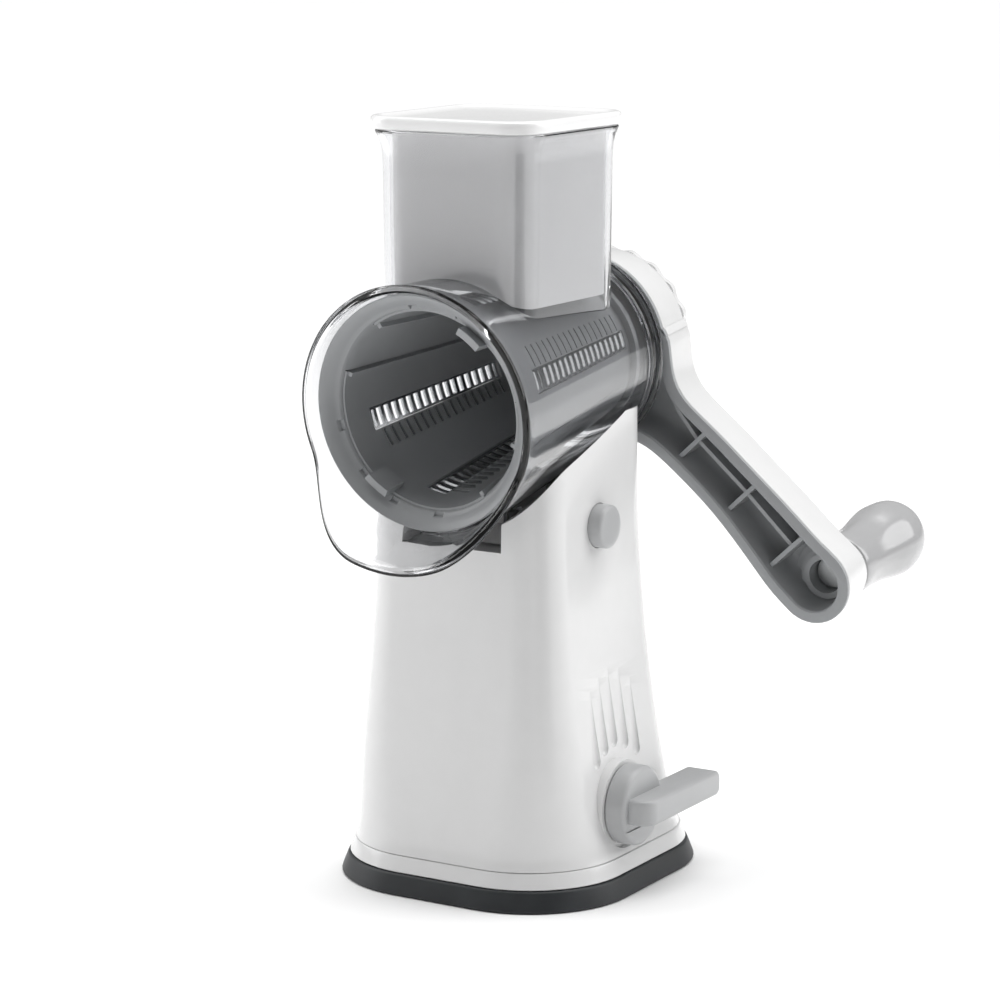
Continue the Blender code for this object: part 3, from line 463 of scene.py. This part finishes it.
def fluteCutter(y, low, high):
    half, depth = tower["fluteHalf"], tower["fluteDepth"]
    bottom = Vector((towerSection(low + half)[0], y, low + half))
    top = Vector((towerSection(high)[0] + 0.2, y, high))
    lean = math.atan2(top.x - bottom.x, top.z - bottom.z)
    deselectAll()
    bpy.ops.mesh.primitive_cone_add(vertices=40, radius1=1, radius2=tower["fluteTip"], depth=1,
                                    location=(bottom + top) / 2 * mm, rotation=(0, lean, 0))
    body = bpy.context.object
    body.scale = (depth * mm, half * mm, (top - bottom).length * mm)
    settle(body)
    deselectAll()
    bpy.ops.mesh.primitive_uv_sphere_add(segments=40, ring_count=20, radius=1, location=bottom * mm)
    foot = bpy.context.object
    foot.scale = (depth * 0.98 * mm, half * 0.99 * mm, half * mm)
    settle(foot)
    return fuse(body, foot)


def sidePlace(y, z):
    # local Z becomes world X, for pieces turned about an axis across the tower
    return Matrix.Translation((0, y, z)) @ Matrix.Rotation(math.radians(90), 4, "Y")


def makeTower():
    wall, bottom, top = tower["wall"], tower["bottom"], tower["top"]
    slotHalf, slotFloor, slotBack = tower["slot"]
    atLever = sidePlace(leverCentre.y, leverCentre.z)
    atButton = sidePlace(leverCentre.y, tower["buttonHeight"] * mm)
    shell = towerSolid("shell", 0, bottom, top)
    cavity = towerSolid("cavity", wall, bottom - 1, top - wall)
    carve(cavity, saddleCone("saddleWall", wall),
          block("slotWall", (-slotHalf - wall, -70, slotFloor - wall), (slotHalf + wall, slotBack + wall, 230)))
    for x, y in tower["posts"]:
        place = Matrix.Translation((x * mm, y * mm, 0))
        carve(cavity, rod("post", tower["postRadius"], 10, 30, place))
    fuse(shell, rod("boss", tower["leverBoss"], 40, 55.8, atLever))
    carve(shell, cavity, rod("seat", tower["leverSeat"], 54.5, 70, atLever, 96),
          saddleCone("saddleCut", 0),
          block("slot", (-slotHalf, -70, slotFloor), (slotHalf, slotBack, 230)),
          block("latchWindow", (-32, -14.2, 137), (-16, -4.8, 151)),
          rod("buttonHole", tower["buttonHole"], 38, 55, atButton, 96),
          rod("shaftHole", tower["shaftHole"], 38, 60, atLever))
    for x, y in tower["posts"]:
        place = Matrix.Translation((x * mm, y * mm, 0))
        carve(shell, rod("postHole", tower["postHole"], 10, 27, place, 24))
    for flute in tower["flutes"]:
        carve(shell, fluteCutter(*flute))
    finishPiece(shell, "towerBody", "root", whiteAbs, "white_plastic", "tower_shell", smooth=30)
    print("tower ready")


# the clear housing: barrel with pouring lip, hopper, rear flange and foot
hopper = {"halfX": 35.0, "halfY": 39.6, "radius": 13.5, "centreY": -16.4, "wall": 2.3,
          "steps": [(-0.7, -0.6, 225), (0, 0, 290), (0.1, 0.1, 294), (0.5, 0.45, 297.5), (1.3, 1.1, 300.4),
                    (2.3, 1.9, 302.4), (2.9, 2.3, 303.4), (3.0, 2.4, 303.9), (2.7, 2.1, 304.4)],
          "foot": ((-19, -44, 143), (19, 16, 172)), "bossHole": 15.6}


def smoothStep(value):
    value = min(max(value, 0.0), 1.0)
    return value * value * (3 - 2 * value)


def drawLip(piece):
    # pulls the barrel's lower front forward along its cone, to make the pouring lip
    for vertex in piece.data.vertices:
        right, down, along = vertex.co / mm
        radius = math.hypot(right, down)
        if radius < 1:
            continue
        away = abs((math.degrees(math.atan2(-down, right)) + 270) % 360 - 180)
        reach = barrel["lipReach"] * (1 - smoothStep((away - barrel["lipFlat"]) / barrel["lipSpan"]))
        fade = 1 - smoothStep((along - barrel["lipStart"]) / (barrel["lipEnd"] - barrel["lipStart"]))
        moved = along - reach * fade
        flare = barrel["lipFlare"] * max(barrel["front"] - moved, 0) / barrel["lipReach"]
        grown = (radius + barrelRadius(moved) - barrelRadius(along) + flare) / radius
        vertex.co = Vector((right * grown, down * grown, moved)) * mm
    return piece


def barrelRows(extra, start):
    return [(barrelRadius(along) + extra, along) for along in range(start, 66, 5)]


def hopperSolid(name, inset, lift):
    sections = []
    for growX, growY, height in hopper["steps"]:
        flare = max(growX, 0)
        top = height + (lift if height == hopper["steps"][-1][2] else 0)
        sections.append((hopper["halfX"] + growX - inset, hopper["halfY"] + growY - inset,
                         hopper["radius"] + growX - inset * 0.8, hopper["centreY"] - flare * 0.2, top))
    sections[0] = sections[0][:4] + (sections[0][4] - lift * 10,)
    return loft(name, sections, 12)


def makeHousing():
    front, end, wall = barrel["front"], barrel["end"], barrel["wall"]
    rim = [(barrelRadius(front + behind) + extra, front + behind) for extra, behind in barrel["bead"]]
    outer = [(0, -14)] + rim + barrelRows(0, 5) + [(barrelRadius(end) + 0.0, end - 0.5),
                                                  (barrelRadius(end) - 0.5, end), (0, end)]
    housing = settle(drawLip(turned("housing", outer, barrel["steps"])), drumPlace)
    lead = [(barrelRadius(front - 4) - 1.1, front - 4), (barrelRadius(front) - 1.2, front - 0.2),
            (barrelRadius(front) - 2.0, front + 0.5), (barrelRadius(front) - wall, front + 1.3)]
    inner = [(0, -42)] + lead + barrelRows(-wall, 0) + [(barrelRadius(end) - wall, end - wall - 1),
                                                        (barrelRadius(end) - wall - 1, end - wall),
                                                        (0, end - wall)]
    inside = settle(drawLip(turned("inside", inner, barrel["steps"])), drumPlace)
    flange = turned("flange", [(32, 116.2), (41.6, 116.2), (42, 116.6), (42, 118.7), (41.6, 119.1),
                               (32, 119.1)], 128)
    ring = turned("ring", [(32, 110.6), (41.6, 110.6), (41.9, 111.0), (41.9, 111.8), (41.6, 112.2),
                           (32, 112.2)], 128)
    fuse(housing, settle(flange, drumPlace), settle(ring, drumPlace), hopperSolid("hopperOut", 0, 0),
         block("foot", *hopper["foot"]))
    carve(housing, inside, hopperSolid("hopperIn", hopper["wall"], 2),
          rod("bossHole", hopper["bossHole"], 100, 130, drumPlace, 96),
          block("latchNotch", (-20, -14.2, 140), (-16.2, -4.8, 150.5)))
    finishPiece(housing, "clearHousing", "root", clearSan, "clear_plastic", "feed_housing", smooth=30)
    print("housing ready")


# the conical drum with its two snap-in grating inserts
drum = {"radius": 42.2, "taper": 0.1, "wall": 2.4, "end": 113.0, "bossEnd": 136.0, "bossRadius": 14.0,
        "inserts": {"a": 53.5, "b": 233.5}, "half": 72.5, "low": 6.0, "high": 107.0, "steps": 144,
        "rowOffset": 31.0, "rowLow": 22.0, "rowHigh": 103.6, "teeth": 17,
        "combFrom": -14.0, "combTo": 0.0, "slitFrom": 0.6, "slitTo": 13.0, "slitWidth": 0.8}


def drumRadius(along):
    return drum["radius"] - drum["taper"] * along


def sector(name, centre, half, low, high, inner, outer, steps=24):
    # a piece of the drum's wall; inner and outer are added to the wall's outer radius
    profile = [(drumRadius(low) + inner, low), (drumRadius(high) + inner, high),
               (drumRadius(high) + outer, high), (drumRadius(low) + outer, low)]
    return turned(name, profile, steps, 2 * half, half - centre)


def slant(name, centre, half, points, steps=12):
    # a bent strip of the drum's wall: points are (added radius, distance along)
    profile = [(drumRadius(along) + extra, along) for extra, along in points]
    return turned(name, profile, steps, 2 * half, half - centre)


def makeDrumFrame():
    end, bossEnd, bossRadius = drum["end"], drum["bossEnd"], drum["bossRadius"]
    profile = [(40.5, 4.9), (40.9, 4.5), (41.6, 4.0), (42.5, 2.9), (43.6, 1.5), (44.8, 0.3), (45.9, -0.6),
               (46.5, -0.95), (46.85, -0.8), (47.0, -0.2), (47.0, 2.5), (46.7, 3.0),
               (46.2, 3.4), (42.9, 5.0), (drumRadius(6.2), 6.2), (drumRadius(107.6), 107.6),
               (drumRadius(108.3) - 0.6, 108.3), (33.6, 109), (33.2, 109.4), (33.2, end - 0.6),
               (32.6, end), (bossRadius + 0.6, end), (bossRadius, end + 0.6), (bossRadius, bossEnd - 1),
               (bossRadius - 1, bossEnd), (0, bossEnd), (0, bossEnd - 3), (8.5, bossEnd - 3), (8.5, 109.5),
               (drumRadius(109.5) - 2.4, 109.5), (drumRadius(9) - 2.4, 9), (39.9, 6.4)]
    body = turned("drumBody", profile, drum["steps"])
    for number in range(6):
        turn = math.radians(60 * number)
        place = Matrix.Translation(((bossRadius + 0.9) * math.cos(turn) * mm,
                                    (bossRadius + 0.9) * math.sin(turn) * mm, 0))
        carve(body, rod("spline", 2.4, end + 1.5, bossEnd + 2, place, 32))
    for centre in drum["inserts"].values():
        carve(body, sector("opening", centre, drum["half"], drum["low"], drum["high"], -8, 8, 48))
        for side, half in ((-1, 2.2), (1, 2.2), (-3.4, 3.0), (3.4, 3.0)):
            carve(body, sector("notch", centre + side * 12, half, 1.0, 5.4, -4, 0.2, 6))
    settle(body, drumPlace)
    finishPiece(body, "drumFrame", "rotor", greyAbs, "light_grey_plastic", "drum_frame")


def makeInserts():
    pitch = (drum["rowHigh"] - drum["rowLow"]) / drum["teeth"]
    for tag, centre in drum["inserts"].items():
        low, high = drum["low"] + 0.3, drum["high"] - 0.3
        plate = sector("plate", centre, drum["half"] - 0.6, low, high, -2.4, 0, 72)
        tab = sector("tab", centre, 8, 0.5, 12, -5.0, -2.1, 10)
        ribs = [sector("rib", centre + side * (drum["half"] - 2.0), 1.2, low + 1, high - 1, -4.2, -2.0, 4)
                for side in (-1, 1)]
        fuse(plate, tab, *ribs)
        for number, side in enumerate((-1, 1), 1):
            row = centre + side * drum["rowOffset"]
            combMid = row + (drum["combFrom"] + drum["combTo"]) / 2
            combHalf = (drum["combTo"] - drum["combFrom"]) / 2
            slitMid = row + (drum["slitFrom"] + drum["slitTo"]) / 2
            slitHalf = (drum["slitTo"] - drum["slitFrom"]) / 2
            carve(plate, sector("window", combMid, combHalf, drum["rowLow"] - 1.5, drum["rowHigh"] + 1.5,
                                -6, 6, 12))
            slits, bars, fins = [], [], []
            for tooth in range(drum["teeth"]):
                at = drum["rowLow"] + pitch * (tooth + 0.5)
                slits.append(sector("slit", slitMid, slitHalf, at - drum["slitWidth"] / 2,
                                    at + drum["slitWidth"] / 2, -6, 6, 8))
                bars.append(slant("bar", combMid, combHalf - 0.6,
                                  [(-1.5, at - 0.9), (-1.5, at + 0.4), (-1.5, at + 0.9), (1.0, at + 1.0),
                                   (1.0, at + 0.5), (-0.9, at + 0.4), (-0.9, at - 0.9)]))
                fins.append(slant("fin", slitMid, slitHalf - 0.5,
                                  [(-3.4, at + 0.5), (-3.4, at + 0.75), (-0.4, at + 0.75), (-0.4, at + 0.5)]))
            carve(plate, joinLoose("slits", slits))
            edges = [sector("edge", combMid + move, 0.8, drum["rowLow"] - 1.2, drum["rowHigh"] + 1.2,
                            -1.6, -0.7, 3) for move in (-combHalf + 1.0, combHalf - 1.0)]
            ends = [sector("end", combMid, combHalf - 0.4, at - 0.6, at + 0.6, -1.55, -0.75, 12)
                    for at in (drum["rowLow"] - 0.5, drum["rowHigh"] + 0.5)]
            comb = settle(joinLoose("comb", bars + fins + edges + ends), drumPlace)
            finishPiece(comb, f"cuttingComb_{tag}{number}", "rotor", bladeSteel, "steel",
                        f"blade_strip_{tag}{number}", smooth=30)
        settle(plate, drumPlace)
        finishPiece(plate, f"insertPlate_{tag}", "rotor", greyAbs, "light_grey_plastic",
                    f"blade_carrier_{tag}")
    print("drum ready")


# the crank: white shell, grey ribbed liner, scalloped cap, and the turning grip
crank = {"hub": 39.3, "length": 139.0, "angle": -41.9, "half": 13.6, "end": 16.4, "bow": 3.6,
         "neck": (0.832, 0.758, 12.5), "draft": 0.1,  # neck: start, share of the arm, power; narrowing per mm
         "low": 127.0, "high": 150.0, "wall": 2.0, "linerLow": 125.0, "linerRim": 126.9, "linerTop": 147.2,
         "floor": 143.0, "ribs": (62, 92, 121), "ribTop": 129.0, "socket": 18.0, "socketBore": 14.3,
         "shellEdge": [(-0.35, 127.0), (0.0, 127.35), (0.0, 147.6), (-0.25, 148.7), (-0.8, 149.5),
                       (-1.6, 149.9), (-2.6, 150.0)],
         "linerEdge": [(-0.5, 125.0), (-0.1, 125.25), (0.0, 125.6), (0.0, 126.7)],
         "pocketEdge": [(-4.4, 120.0), (-4.4, 125.2), (-4.9, 125.7), (-4.9, 137.6), (-5.2, 139.4),
                        (-6.0, 141.2), (-7.2, 142.4), (-8.8, 143.0)]}  # offset, distance along


def armOutline(offset):
    # hub circle, flared neck, straight bowed arm and round end, grown by an offset
    hub, end = crank["hub"] + offset, crank["end"] + offset
    start, reach, power = crank["neck"]
    begin = hub * math.sqrt(1 - start ** 2)
    upper, lower = [], []
    neck, tip, back = 34, 22, 64
    for step in range(neck + 1):
        share = (step / neck) ** 1.4
        along = begin + (crank["length"] - begin) * share
        flare = (hub * start - crank["half"] - offset) * (1 - smoothStep(share / reach)) ** power
        half = crank["half"] + offset + flare + (crank["end"] - crank["half"]) * smoothStep((share - 0.5) * 2)
        bow = crank["bow"] * math.sin(math.pi * min(share / 0.9, 1.0))
        upper.append((along, bow + half))
        lower.append((along, bow - half))
    ends = [math.radians(90 - 180 * step / tip) for step in range(1, tip)]
    rounding = [(crank["length"] + end * math.cos(a), end * math.sin(a)) for a in ends]
    opening = math.degrees(math.atan2(upper[0][1], upper[0][0]))
    behind = [math.radians(-opening - (360 - 2 * opening) * step / back) for step in range(1, back)]
    hubArc = [(hub * math.cos(a), hub * math.sin(a)) for a in behind]
    return [armPoint(x, up) for x, up in upper + rounding + lower[::-1] + hubArc]


def armPoint(along, across):
    turn = math.radians(crank["angle"])
    return (along * math.cos(turn) - across * math.sin(turn), along * math.sin(turn) + across * math.cos(turn))


def armSolid(name, steps):
    # the arm's shape through (offset, distance along) steps, narrowing away from the front rim
    outline = armOutline(0)
    first = tracePath(name, [(right, -up, 0) for right, up in outline])
    startEdit(first)
    pick("VERT", lambda v: v.index in (0, len(outline) - 1))
    bpy.ops.mesh.edge_face_add()
    stopEdit()
    rings = []
    for offset, along in steps:
        grab(first)
        bpy.ops.object.duplicate()
        ring = bpy.context.object
        outline = armOutline(offset - crank["draft"] * (along - crank["linerLow"]))
        for vertex, (right, up) in zip(ring.data.vertices, outline):
            vertex.co = Vector((right, -up, along)) * mm
        rings.append(ring)
    bpy.data.objects.remove(first)
    return skinRings(name, rings, steps[0][1], steps[-1][1])


def armBar(name, start, finish, half, low, high):
    # a straight rib from one (along, across) point of the arm to another
    begin, stop = Vector(armPoint(*start)), Vector(armPoint(*finish))
    side = (stop - begin).normalized()
    side = Vector((-side.y, side.x)) * half
    corners = [begin + side, stop + side, stop - side, begin - side]
    return raised(name, [tuple(c) for c in corners], low, high)


def makeCrank():
    low, high, firm = crank["low"], crank["high"], {"solver": "MANIFOLD"}
    gripPlace = drumPlace @ Matrix.Translation((gripCentre.x, gripCentre.y, 0))
    shell = armSolid("shell", crank["shellEdge"])
    carve(shell, armSolid("pocket", [(-crank["wall"], low - 5), (-crank["wall"], high - 2.5)]), **firm)
    fuse(shell, rod("socket", crank["socket"], 122, high - 1, None, 96), **firm)
    carve(shell, rod("socketBore", crank["socketBore"], 120, 137, None, 96), **firm)
    settle(shell, drumPlace)
    carve(shell, rod("axleHole", 5.8, 140, 160, gripPlace), **firm)
    finishPiece(shell, "crankShell", "rotor", whiteAbs, "white_plastic", "crank_shell")

    inset = -crank["wall"] - 0.3
    liner = armSolid("liner", crank["linerEdge"] + [(inset, crank["linerRim"]), (inset, crank["linerTop"])])
    hollow = armSolid("hollow", crank["pocketEdge"])
    thin = crank["ribTop"]
    for along in crank["ribs"]:
        carve(hollow, armBar("rib", (along - 2.5, -30), (along + 3.5, 30), 0.9, thin, 150), **firm)
    spine = [(30, 22), (48, 8.5), (62, 5.6), (92, 5.0), (121, 3.0)]
    for start, finish in zip(spine, spine[1:]):
        carve(hollow, armBar("spine", start, finish, 0.8, thin + 1.5, 150), **firm)
    carve(hollow, rod("hubRing", 21.0, 110, 150, None, 96), **firm)
    steps = [rod("ringStep", radius, top, 150, Matrix.Translation((gripCentre.x, gripCentre.y, 0)), 96)
             for radius, top in ((14.6, 141.6), (11.6, 139.4), (9.6, 137.8))]
    carve(hollow, *steps, **firm)
    carve(liner, hollow, **firm)
    carve(liner, rod("linerHub", crank["socket"] + 0.3, 110, 160, None, 96), **firm)
    carve(liner, rod("linerBore", 7.2, 110, 160, Matrix.Translation((gripCentre.x, gripCentre.y, 0)), 64),
          **firm)
    settle(liner, drumPlace)
    finishPiece(liner, "crankLiner", "rotor", greyAbs, "grey_plastic", "crank_liner", smooth=40)
    print("crank ready")


cap = {"radius": 36.0, "scallop": 0.7, "waves": 20, "low": 150.3, "high": 154.2, "steps": 240}


def makeHubCap():
    radius, low, high = cap["radius"], cap["low"], cap["high"]
    profile = [(0, low), (radius, low), (radius, high - 1.6), (radius - 0.5, high - 0.6), (radius - 1.5, high),
               (radius - 5, high), (radius - 5.6, high - 0.5), (radius - 6.6, high - 0.5),
               (radius - 7.2, high - 0.05), (12, high - 0.05), (11.4, high - 0.7), (0, high - 0.7)]
    piece = turned("cap", profile, cap["steps"])
    for vertex in piece.data.vertices:
        across = Vector((vertex.co.x, vertex.co.y))
        if across.length > (radius - 2) * mm:
            turn = math.atan2(vertex.co.y, vertex.co.x)
            grown = 1 + cap["scallop"] * mm * math.cos(cap["waves"] * turn) / across.length
            vertex.co.x *= grown
            vertex.co.y *= grown
    settle(piece, drumPlace)
    finishPiece(piece, "hubCap", "rotor", whiteAbs, "white_plastic", "hub_cap")


grip = {"start": 150.8, "bore": 5.9, "boreEnd": 42.5, "lobes": 8, "lobeDepth": 0.35,
        "profile": [(11.8, 0.0), (12.7, 0.3), (13.2, 1.2), (13.4, 6.0), (13.3, 14.0), (13.9, 24.0),
                    (15.4, 34.0), (16.2, 40.0), (16.4, 44.0), (16.1, 49.0), (15.0, 53.2), (13.0, 56.6),
                    (10.2, 58.9), (6.6, 59.9), (3.0, 60.15), (0.0, 60.2)]}


def makeGrip():
    rows = grip["profile"]
    fine = []
    for index in range(len(rows) - 1):  # extra rings on a smooth curve between the named ones
        p0, p1 = rows[max(index - 1, 0)], rows[index]
        p2, p3 = rows[index + 1], rows[min(index + 2, len(rows) - 1)]
        for t in (0.0, 0.34, 0.67):
            fine.append(tuple(0.5 * (2 * b + (c - a) * t + (2 * a - 5 * b + 4 * c - d) * t * t
                                     + (3 * b - a - 3 * c + d) * t ** 3)
                              for a, b, c, d in zip(p0, p1, p2, p3)))
    path = [(grip["bore"], 0)] + fine + [rows[-1], (0, grip["boreEnd"]), (grip["bore"], grip["boreEnd"])]
    piece = turned("grip", path, 128)
    for vertex in piece.data.vertices:
        radius, along = math.hypot(vertex.co.x, vertex.co.y) / mm, vertex.co.z / mm
        if radius < grip["bore"] + 1 or along < 2:
            continue
        fade = smoothStep((along - 2) / 12) * smoothStep((57 - along) / 14)
        turn = math.atan2(vertex.co.y, vertex.co.x)
        grown = 1 - grip["lobeDepth"] * fade * (0.5 - 0.5 * math.cos(grip["lobes"] * turn)) / radius
        vertex.co.x *= grown
        vertex.co.y *= grown
    settle(piece, drumPlace @ Matrix.Translation((gripCentre.x, gripCentre.y, grip["start"] * mm)))
    finishPiece(piece, "crankGrip", "grip", gripAbs, "gloss_grey_plastic", "grip", smooth=50)


# the pusher that fills the hopper
pusher = {"gap": 3.5, "bottom": 242.3, "arch": 94.0, "low": 225, "flangeX": 38.8, "flangeY": 42.3,
          "flangeRadius": 15.0, "flangeCentre": -17.6, "flangeLow": 304.9, "top": 310.0, "neck": 297}


def pusherSections(rows):
    return [(hopper["halfX"] - pusher["gap"] - inset, hopper["halfY"] - pusher["gap"] - inset,
             hopper["radius"] - 3.0 - inset * 0.7, hopper["centreY"], height) for inset, height in rows]


def flangeSections(rows):
    return [(pusher["flangeX"] - inset, pusher["flangeY"] - inset, pusher["flangeRadius"] - inset,
             pusher["flangeCentre"], height) for inset, height in rows]


def makePusher():
    across = Matrix.Translation((0, 0, (pusher["bottom"] - pusher["arch"]) * mm))
    across = across @ Matrix.Rotation(math.radians(-90), 4, "X")
    body = loft("body", pusherSections([(0.5, 225), (0.2, 270), (0, 304.6)]), 12)
    hollow = loft("hollow", pusherSections([(2.6, 220), (2.2, 320)]), 12)
    carve(body, rod("arch", pusher["arch"], -90, 60, across, 360))
    carve(hollow, rod("floor", pusher["arch"] + 2.4, -90, 60, across, 360))
    carve(body, hollow)
    finishPiece(body, "pusherBody", "pusher", pusherAbs, "white_plastic", "pusher_body")

    top, low = pusher["top"], pusher["flangeLow"]
    flange = loft("flange", flangeSections([(0.6, low), (0.15, low + 0.3), (0, low + 0.9), (0, top - 1.6),
                                            (0.25, top - 0.8), (0.8, top - 0.3), (1.6, top - 0.03),
                                            (2.4, top)]), 14)
    startEdit(flange)
    pick("FACE", lambda f: len(f.verts) > 8 and f.calc_center_median().z > (top - 0.01) * mm)
    bpy.ops.mesh.inset(thickness=0.9 * mm, depth=-0.2 * mm)
    bpy.ops.mesh.inset(thickness=1.6 * mm, depth=-0.7 * mm)
    bpy.ops.mesh.inset(thickness=7.0 * mm, depth=-0.25 * mm)
    stopEdit()
    plug = loft("plug", pusherSections([(2.6, pusher["neck"]), (2.6, low + 1.0)]), 12)
    bore = loft("bore", pusherSections([(4.6, pusher["neck"] - 1), (4.6, low + 0.9)]), 12)
    fuse(flange, plug)
    carve(flange, bore)
    finishPiece(flange, "pusherFlange", "pusher", pusherAbs, "white_plastic", "pusher_cap")
    print("pusher ready")


# the suction lever and the release button on the side
lever = {"radius": 16.2, "back": 54.8, "face": 63.6, "barFace": 73.6, "reach": 48.0, "front": -12.5,
         "barHalf": 5.2}
button = {"radius": 8.8, "face": 48.3}


def makeLever():
    back, face, radius = lever["back"], lever["face"], lever["radius"]
    hub = turned("hub", [(0, back), (radius - 0.5, back), (radius, back + 0.5), (radius, face - 1.5),
                         (radius - 0.4, face - 0.7), (radius - 1.3, face - 0.15), (radius - 2.0, face),
                         (0, face)], 128)
    settle(hub, sidePlace(leverCentre.y, leverCentre.z))
    y, z = leverCentre.y / mm, leverCentre.z / mm
    half = lever["barHalf"]
    step = block("step", (face - 0.6, y - radius - 2, z - half - 3.2),
                 (face + 2, y + radius + 2, z - half - 2.4))
    bar = block("bar", (back + 4, y + lever["front"], z - half),
                (lever["barFace"], y + lever["reach"], z + half))
    startEdit(bar)
    pick("EDGE", lambda e: all(v.co.x > (lever["barFace"] - 1) * mm for v in e.verts)
         and all(v.co.y < (y + lever["front"] + 1) * mm for v in e.verts))
    bpy.ops.mesh.bevel(offset=6.5 * mm, segments=10, affect="EDGES")
    pick("EDGE", lambda e: abs(e.verts[0].co.x - e.verts[1].co.x) > 4 * mm
         and all(v.co.y > (y + lever["reach"] - 1) * mm for v in e.verts))
    bpy.ops.mesh.bevel(offset=3.4 * mm, segments=6, affect="EDGES")
    stopEdit()
    soften(bar, 1.5, 4, 30)
    carve(hub, step)
    fuse(hub, bar)
    finishPiece(hub, "suctionLever", "lever", paleAbs, "light_grey_plastic", "suction_lever", smooth=40)

    radius, face = button["radius"], button["face"]
    knob = turned("knob", [(0, 35.3), (3.5, 35.3), (3.5, 37.4), (10.2, 37.4), (10.2, 38.9), (radius, 38.9),
                           (radius, face - 1.5), (radius - 0.25, face - 0.8), (radius - 0.9, face - 0.3),
                           (radius - 1.8, face - 0.12), (radius - 4, face - 0.03), (0, face)], 96)
    settle(knob, sidePlace(leverCentre.y, tower["buttonHeight"] * mm))
    finishPiece(knob, "releaseButton", "button", paleAbs, "light_grey_plastic", "release_button")
    print("lever and button ready")


def dressInside():
    # pieces that keep their own shape and only take a finish
    finishes = {"base_plate": innerNylon, "cam_shaft": innerNylon, "lift_yoke": innerNylon,
                "latch_bar": innerNylon, "cam_clip": screwSteel, "lift_stud": screwSteel,
                "grip_axle": screwSteel, "button_spring": screwSteel}
    for number in range(1, 5):
        finishes[f"base_screw_{number}"] = screwSteel
    for node, surface in finishes.items():
        piece = frame["nodes"][node]
        piece.data.materials.clear()
        piece.data.materials.append(surface)
    print("inside pieces dressed")


studio = {"azimuth": 31.157, "elevation": 10.687, "distance": 1376.6, "target": (-9.28, 0, 151.03),
          "lens": 121.5, "ambient": 0.3, "backdrop": 1.0, "floor": "#F7F7F7", "floorSize": 60,
          "sky": (200, 80, 60, 2.6),  # the overhead light's azimuth, elevation, spread and strength
          # each panel's azimuth, elevation, distance, size and power
          "lamps": [("leftPanel", -75, 26, 1500, (900, 1200), 9.0),
                    ("rightPanel", 125, 30, 1500, (1000, 1200), 11.0)],
          "screen": (60, 620, (340, 900), "#0C0C0C")}  # dark card: azimuth, distance, size, colour


def fromAngles(azimuth, elevation):
    a, e = math.radians(azimuth), math.radians(elevation)
    return Vector((math.sin(a) * math.cos(e), -math.cos(a) * math.cos(e), math.sin(e)))


def makeStudio():
    scene = bpy.context.scene
    target = Vector(studio["target"]) * mm
    back = fromAngles(studio["azimuth"], studio["elevation"])
    camera = bpy.data.objects.new("camera", bpy.data.cameras.new("camera"))
    camera.location = target + back * studio["distance"] * mm
    camera.rotation_euler = back.to_track_quat("Z", "Y").to_euler()
    camera.data.lens = studio["lens"]
    camera.data.clip_start = 0.05
    scene.collection.objects.link(camera)
    scene.camera = camera

    deselectAll()
    bpy.ops.mesh.primitive_plane_add(size=studio["floorSize"], location=(0, 0, -0.2 * mm))
    floor = bpy.context.object
    floor.name = "paleFloor"
    surface, tree, shader = newSurface("palePaper", Roughness=0.8, Base_Color=linearColour(studio["floor"]),
                                       Specular_IOR_Level=0.1)
    floor.data.materials.append(surface)

    azimuth, distance, size, shade = studio["screen"]
    towards = fromAngles(azimuth, 0)
    deselectAll()
    lift = Vector((0, 0, size[1] * mm / 2))
    bpy.ops.mesh.primitive_plane_add(size=1, location=towards * distance * mm + lift)
    screen = bpy.context.object
    screen.name = "darkCard"
    screen.scale = (size[0] * mm, size[1] * mm, 1)
    screen.rotation_euler = towards.to_track_quat("Z", "Y").to_euler()
    screen.visible_camera = False
    screen.data.materials.append(newSurface("blackFelt", Roughness=0.95, Specular_IOR_Level=0.1,
                                            Base_Color=linearColour(shade))[0])

    azimuth, elevation, spread, strength = studio["sky"]
    data = bpy.data.lights.new("sky", "SUN")
    data.energy = strength
    data.angle = math.radians(spread)
    sky = bpy.data.objects.new("sky", data)
    sky.rotation_euler = fromAngles(azimuth, elevation).to_track_quat("Z", "Y").to_euler()
    scene.collection.objects.link(sky)
    for name, azimuth, elevation, distance, size, watts in studio["lamps"]:
        data = bpy.data.lights.new(name, "AREA")
        data.shape = "RECTANGLE"
        data.size, data.size_y = size[0] * mm, size[1] * mm
        data.energy = watts
        lamp = bpy.data.objects.new(name, data)
        towards = fromAngles(azimuth, elevation)
        lamp.location = target + towards * distance * mm
        lamp.rotation_euler = towards.to_track_quat("Z", "Y").to_euler()
        scene.collection.objects.link(lamp)

    world = bpy.data.worlds.new("studio")
    scene.world = world
    world.use_nodes = True
    tree = world.node_tree
    tree.nodes.clear()
    seen = addNode(tree, "ShaderNodeLightPath").outputs["Is Camera Ray"]
    soft = addNode(tree, "ShaderNodeBackground", {"Color": (1, 1, 1, 1), "Strength": studio["ambient"]})
    bright = addNode(tree, "ShaderNodeBackground", {"Color": (1, 1, 1, 1), "Strength": studio["backdrop"]})
    mixed = addNode(tree, "ShaderNodeMixShader", None, {0: seen, 1: soft.outputs[0], 2: bright.outputs[0]})
    addNode(tree, "ShaderNodeOutputWorld", None, {"Surface": mixed.outputs[0]})
    scene.view_settings.view_transform = "Standard"
    print("studio ready")


makeBase()
makeTower()
makeHousing()
makeDrumFrame()
makeInserts()
makeCrank()
makeHubCap()
makeGrip()
makePusher()
makeLever()
dressInside()
makeStudio()
